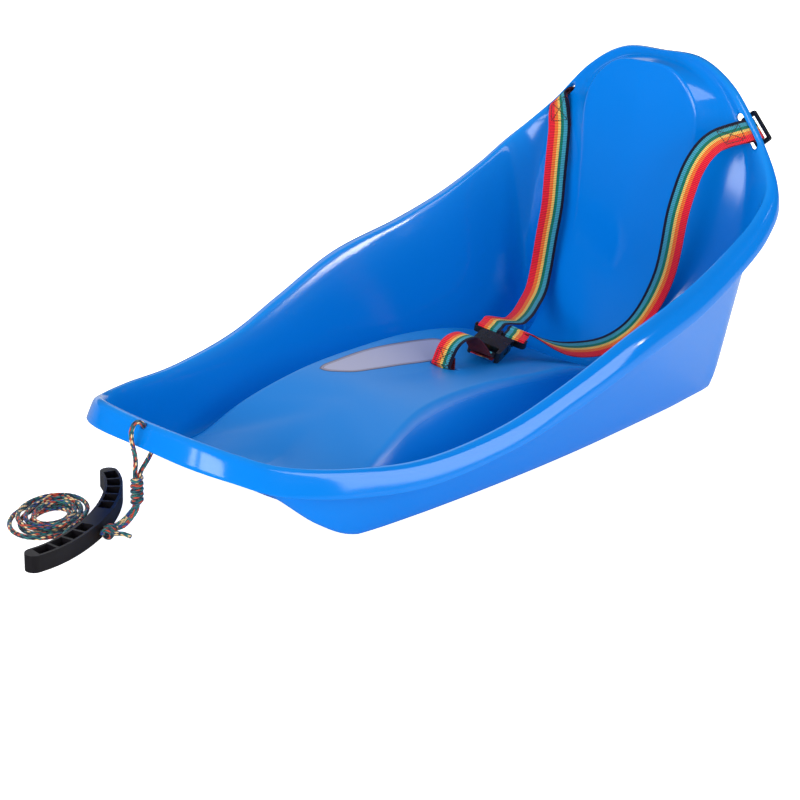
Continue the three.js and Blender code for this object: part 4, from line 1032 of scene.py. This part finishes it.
def stitches(name, path, lines, colour_side=1):
    """Stitches along lines given as ((length, across), (length, across)) on the strap, in millimetres."""
    starts, ends = [], []
    for (u0, v0), (u1, v1) in lines:
        far = math.hypot(u1 - u0, v1 - v0)
        at = (np.arange(int(far // stitch_pitch)) + 0.5) * stitch_pitch / far
        half = stitch_length / 2 / far
        step = np.array([u1 - u0, v1 - v0])
        starts.append(np.array([u0, v0]) + (at[:, None] - half) * step)
        ends.append(np.array([u0, v0]) + (at[:, None] + half) * step)
    start, end = np.concatenate(starts), np.concatenate(ends)
    t = np.linspace(0, 1, 7)[None, :, None]
    spine = start[:, None] * (1 - t) + end[:, None] * t
    rise = webbing_thickness / 2 - 0.25 + 0.35 * np.sin(math.pi * t[..., 0])
    radius = stitch_radius * np.sqrt(np.clip(1 - (2 * t[..., 0] - 1) ** 4, 0.02, 1)) + 0 * spine[..., 0]

    def lay(key):
        return np.stack([np.interp(spine[..., 0], path["length"], path[key][:, k]) for k in range(3)], -1)

    place, side, face = lay("place"), unit(lay("side")), unit(lay("face")) * colour_side
    middle = place + side * spine[..., 1:] + face * (rise + 0 * spine[..., 0])[..., None]
    run = unit(middle[:, -1:] - middle[:, :1])
    across_run = unit(np.cross(run, face))
    angle = np.arange(6) / 6 * 2 * math.pi
    ring = (np.cos(angle)[:, None] * across_run[:, :, None] + np.sin(angle)[:, None] * face[:, :, None])
    points = middle[:, :, None] + radius[..., None, None] * ring
    count, rings, sides = points.shape[:3]
    one = grid_faces(rings, sides, close_columns=True)
    faces = (one[None] + (np.arange(count) * rings * sides)[:, None, None]).reshape(-1, 4).tolist()
    offset = (np.arange(count) * rings * sides)[:, None]
    faces += (offset + np.arange(sides)[::-1]).tolist()
    faces += (offset + (rings - 1) * sides + np.arange(sides)).tolist()
    piece = mesh_piece(name, points + sled_shift, faces)
    piece.data.materials.append(thread_material)
    return piece


def box_and_cross(start, length):
    """The four sides of a box and its two diagonals."""
    half = webbing_width / 2 - stitch_inset
    a, b = start, start + length
    corners = [(a, -half), (b, -half), (b, half), (a, half)]
    sides = [(corners[k], corners[(k + 1) % 4]) for k in range(4)]
    return sides + [(corners[0], corners[2]), (corners[1], corners[3])]


for name, side in (("left", 1), ("right", -1)):
    path, leaves = straps[name]
    box = box_and_cross(path["length"][leaves] + shoulder_box_start, shoulder_box_length)
    sewn = stitches(f"shoulder_stitches_{name}", path, box, side)
    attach(sewn, "sled")
leaves_deck = np.argmin(np.linalg.norm(crotch_path["place"] - crotch_row(deck_top, -wrap_radius), axis=1))
box = box_and_cross(crotch_path["length"][leaves_deck] + crotch_box_start, crotch_box_length)
crotch_sewn = stitches("crotch_stitches", crotch_path, box)
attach(crotch_sewn, "sled")
print("stitching:", len(crotch_sewn.data.polygons), "faces on the crotch strap")

# %% [markdown]
# ## Moulded fittings
#
# The buckle, the slides and the handle keep their CAD shapes. Each is copied, its coplanar triangles are
# merged, and a small bevel rounds the edges that turn by more than 35 degrees, so that the light catches
# them.

# %% Copies with rounded edges
def moulded(name, node, body, edge, material):
    """A copy of a CAD node with its flat faces joined and its edges bevelled to the given width."""
    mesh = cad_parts[node].data.copy()
    mesh.name = name
    join = bmesh.new()
    join.from_mesh(mesh)
    bmesh.ops.remove_doubles(join, verts=join.verts, dist=1e-6)
    bmesh.ops.dissolve_limit(join, angle_limit=math.radians(1), verts=join.verts, edges=join.edges)
    join.to_mesh(mesh)
    join.free()
    piece = bpy.data.objects.new(name, mesh)
    bpy.context.scene.collection.objects.link(piece)
    mesh.materials.clear()
    mesh.materials.append(material)
    mesh.polygons.foreach_set("use_smooth", np.ones(len(mesh.polygons), bool))
    rounding = piece.modifiers.new("rounded edges", "BEVEL")
    rounding.width = edge * mm
    rounding.segments = 3
    rounding.limit_method = "ANGLE"
    rounding.angle_limit = math.radians(35)
    normals = piece.modifiers.new("even normals", "WEIGHTED_NORMAL")
    normals.keep_sharp = False
    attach(piece, body)
    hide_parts(node)
    return piece


def dark_plastic(name, grain_scale, cloud_scale, colour, cloud_colour, rough_from, rough_change, depth):
    """A black moulding's skin: finely grained, and a little rougher where its clouding is pale."""
    material, net, shader = new_material(name)
    skin = grained(net, Grain_Scale=grain_scale, Grain_Depth=0.6, Cloud_Scale=cloud_scale, Colour=colour,
                   Cloud_Colour=cloud_colour)
    net.join(skin.outputs["Colour"], shader.inputs["Base Color"])
    rough = net.math("ADD", rough_from, net.math("MULTIPLY", skin.outputs["Cloud"], rough_change))
    net.join(rough, shader.inputs["Roughness"])
    bump(net, shader, skin.outputs["Height"], depth, 0.5)
    return material


black_material = dark_plastic("black acetal", 2200.0, 60.0, (0.004, 0.004, 0.006, 1),
                              (0.012, 0.011, 0.015, 1), 0.2, 0.12, 0.00008)
handle_material = dark_plastic("handle plastic", 1500.0, 30.0, (0.006, 0.005, 0.007, 1),
                               (0.014, 0.012, 0.017, 1), 0.3, 0.2, 0.0001)

moulded("buckle_housing_moulding", "buckle_housing", "sled", 0.8, black_material)
moulded("buckle_tongue_moulding", "buckle_tongue", "tongue", 0.6, black_material)
for name in ("left", "right"):
    moulded(f"buckle_prong_{name}_moulding", f"buckle_prong_{name}", f"prong_{name}", 0.4, black_material)
    moulded(f"shoulder_slide_{name}_moulding", f"shoulder_slide_{name}", f"slide_{name}", 0.5, black_material)
moulded("crotch_slide_moulding", "crotch_slide", "sled", 0.5, black_material)
pull_handle = moulded("pull_handle_moulding", "pull_handle", "sled", 0.9, handle_material)

# %% [markdown]
# ## The bare plate
#
# The side of the middle hump carries a silver foil. Here it is a bare plate, an oval drawn out to a point at
# the front, with a border of thin lines, and it follows the plastic under it. The outline's points come from
# the camera's rays through places picked on the photograph, and some were then moved.

# %% Plate on the hump
far_edge = [(-62.5, -92.2), (-65.5, -84), (-65.2, -64.2), (-66.5, -31.3), (-66, -1.9), (-65.4, 27.7),
            (-64.8, 58), (-62, 80), (-52, 90)]
near_edge = [(-62.5, -92.2), (-55.5, -92), (-46.4, -87.3), (-31.9, -73), (-24.6, -49), (-20.6, -20.9),
             (-17.8, 12), (-19, 45), (-28, 74), (-52, 90)]
plate_steps, plate_rows, plate_from = 150, 56, 90.0
plate_gap, foil_thickness = 0.00025, 0.0003
far_line, _ = evenly(through(far_edge, 10), 1)
near_line, _ = evenly(through(near_edge, 10), 1)
along_share = np.linspace(0, 1, plate_steps)


def at_shares(line):
    """The line's places at even shares of its length."""
    return np.stack([np.interp(along_share, np.linspace(0, 1, len(line)), line[:, k]) for k in range(2)], 1)


across_share = np.linspace(0, 1, plate_rows)[:, None, None]
flat = at_shares(far_line)[None] * (1 - across_share) + at_shares(near_line)[None] * across_share
plate_points = np.concatenate([flat, np.full((*flat.shape[:2], 1), plate_from)], -1)
outline = np.concatenate([far_line, near_line])
from_edge = np.linalg.norm(flat.reshape(-1, 1, 2) - outline[None], axis=-1).min(axis=1)
plate = mesh_piece("bare_plate", plate_points + sled_shift, grid_faces(plate_rows, plate_steps))
point_value(plate, "from_edge", from_edge)
drop = plate.modifiers.new("lie on the hump", "SHRINKWRAP")
drop.target = shell
drop.wrap_method = "PROJECT"
drop.use_project_z = True
drop.use_negative_direction = True
drop.use_positive_direction = False
drop.offset = plate_gap
thick = plate.modifiers.new("foil", "SOLIDIFY")
thick.thickness = foil_thickness
thick.offset = 1

plate_material, net, shader = new_material("silver foil")
from_edge_value = net.node("ShaderNodeAttribute", attribute_name="from_edge")
border = [(0.0, (0.02, 0.018, 0.03)), (0.09, (0.22, 0.17, 0.20)), (0.2, (0.34, 0.30, 0.36)),
          (0.3, (0.07, 0.045, 0.05)), (0.36, (0.42, 0.42, 0.56))]
outer = net.ramp(net.math("MULTIPLY", from_edge_value.outputs["Fac"], 0.1), border, "CONSTANT")
foil = grained(net, Grain_Scale=700.0, Grain_Depth=0.3, Cloud_Scale=14.0, Cloud_Amount=0.5,
               Cloud_Colour=(0.35, 0.38, 0.62, 1))
net.join(outer, foil.inputs["Colour"])
net.join(foil.outputs["Colour"], shader.inputs["Base Color"])
set_shader(shader, Metallic=0.3, Roughness=0.35)
bump(net, shader, foil.outputs["Height"], 0.0001, 0.3)
plate.data.materials.append(plate_material)
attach(plate, "sled")

# %% [markdown]
# ## Studio
#
# The camera sees a plain white floor and sky, as in the photograph. The gloss sees a dim sky, a floor that is
# dark in front, and the panels that make its streaks, so that each of them is set by itself.

# %% Floor, sky and lights
bpy.context.scene.view_settings.view_transform = "Standard"
floor_mesh_points = np.array([[[-8, -8, 0], [8, -8, 0]], [[-8, 8, 0], [8, 8, 0]]]) * 1000.0
floor = mesh_piece("floor", floor_mesh_points - [0, 0, 0.4], grid_faces(2, 2)[:, ::-1])
floor_material, net, shader = new_material("pale floor")
place = net.node("ShaderNodeTexCoord")
paper = net.group(grain_group, Vector=place.outputs["Object"], Grain_Scale=300.0, Grain_Depth=0.2,
                  Cloud_Scale=1.0, Cloud_Amount=0.2, Colour=grey(0.9), Cloud_Colour=grey(0.88))
split = net.node("ShaderNodeSeparateXYZ")
net.join(place.outputs["Object"], split.inputs[0])
dark_in_front = net.ramp(net.math("ADD", split.outputs[1], 0.6), [(0.0, grey(0.02)), (1.0, grey(1.0))])
rays_on_floor = net.node("ShaderNodeLightPath")
seen_in_gloss = rays_on_floor.outputs["Is Glossy Ray"]
net.join(net.mix(seen_in_gloss, paper.outputs["Colour"], dark_in_front), shader.inputs["Base Color"])
set_shader(shader, Roughness=0.7, Specular_IOR_Level=0.2, Emission_Strength=1.0)
glow = net.mix(rays_on_floor.outputs["Is Camera Ray"], grey(0.45), grey(1.0))
net.join(net.mix(seen_in_gloss, glow, grey(0.0)), shader.inputs["Emission Color"])
floor.data.materials.append(floor_material)

world = bpy.data.worlds.new("studio")
world.use_nodes = True
sky = Net(world.node_tree)
backdrop = world.node_tree.nodes["Background"]
rays = sky.node("ShaderNodeLightPath")
dim_in_gloss = sky.mix(rays.outputs["Is Glossy Ray"], grey(0.8), grey(0.06))
sky.join(sky.mix(rays.outputs["Is Camera Ray"], dim_in_gloss, grey(1.0)), backdrop.inputs["Color"])
backdrop.inputs["Strength"].default_value = 1.0
bpy.context.scene.world = world


def soft_box(name, place, target, width, height, watts, colour=(1, 1, 1), gloss=True, diffuse=True):
    """An area light at a place, turned so that it faces the target. Either of its two kinds of light can
    be left out, so that a panel seen in the gloss and a fill that only brightens are set apart."""
    light = bpy.data.lights.new(name, "AREA")
    light.shape = "RECTANGLE"
    light.size, light.size_y = width, height
    light.energy = watts
    light.color = colour
    lamp = bpy.data.objects.new(name, light)
    lamp.location = place
    direction = Vector(target) - Vector(place)
    lamp.rotation_euler = direction.to_track_quat("-Z", "Y").to_euler()
    lamp.visible_glossy = gloss
    lamp.visible_diffuse = diffuse
    bpy.context.scene.collection.objects.link(lamp)
    return lamp


soft_box("wall seen in the rim", (2.6, 0.7, 1.7), (0, 0, 0.1), 2.0, 3.2, 85, diffuse=False)
soft_box("strip seen in the far rim", (2.3, 1.76, 1.5), (0, 0, 0.1), 0.14, 0.6, 9, diffuse=False)
soft_box("panel behind", (-1.9, 1.6, 1.35), (0, 0, 0.15), 1.8, 1.2, 6, (0.96, 0.97, 1))
soft_box("front window", (0.35, -2.75, 0.78), (0, -0.3, 0.1), 1.1, 0.55, 16, (0.92, 0.92, 1))
soft_box("narrow pane of the front window", (-0.5, -2.7, 0.78), (0, -0.3, 0.1), 0.25, 0.55, 3.5,
         (0.92, 0.92, 1))
soft_box("fill from the front", (-0.8, -2.2, 1.6), (0, 0.2, 0.1), 2.0, 1.5, 17, gloss=False)
soft_box("fill from the right", (2.4, -0.5, 1.2), (0, 0, 0.15), 1.6, 1.2, 16, gloss=False)
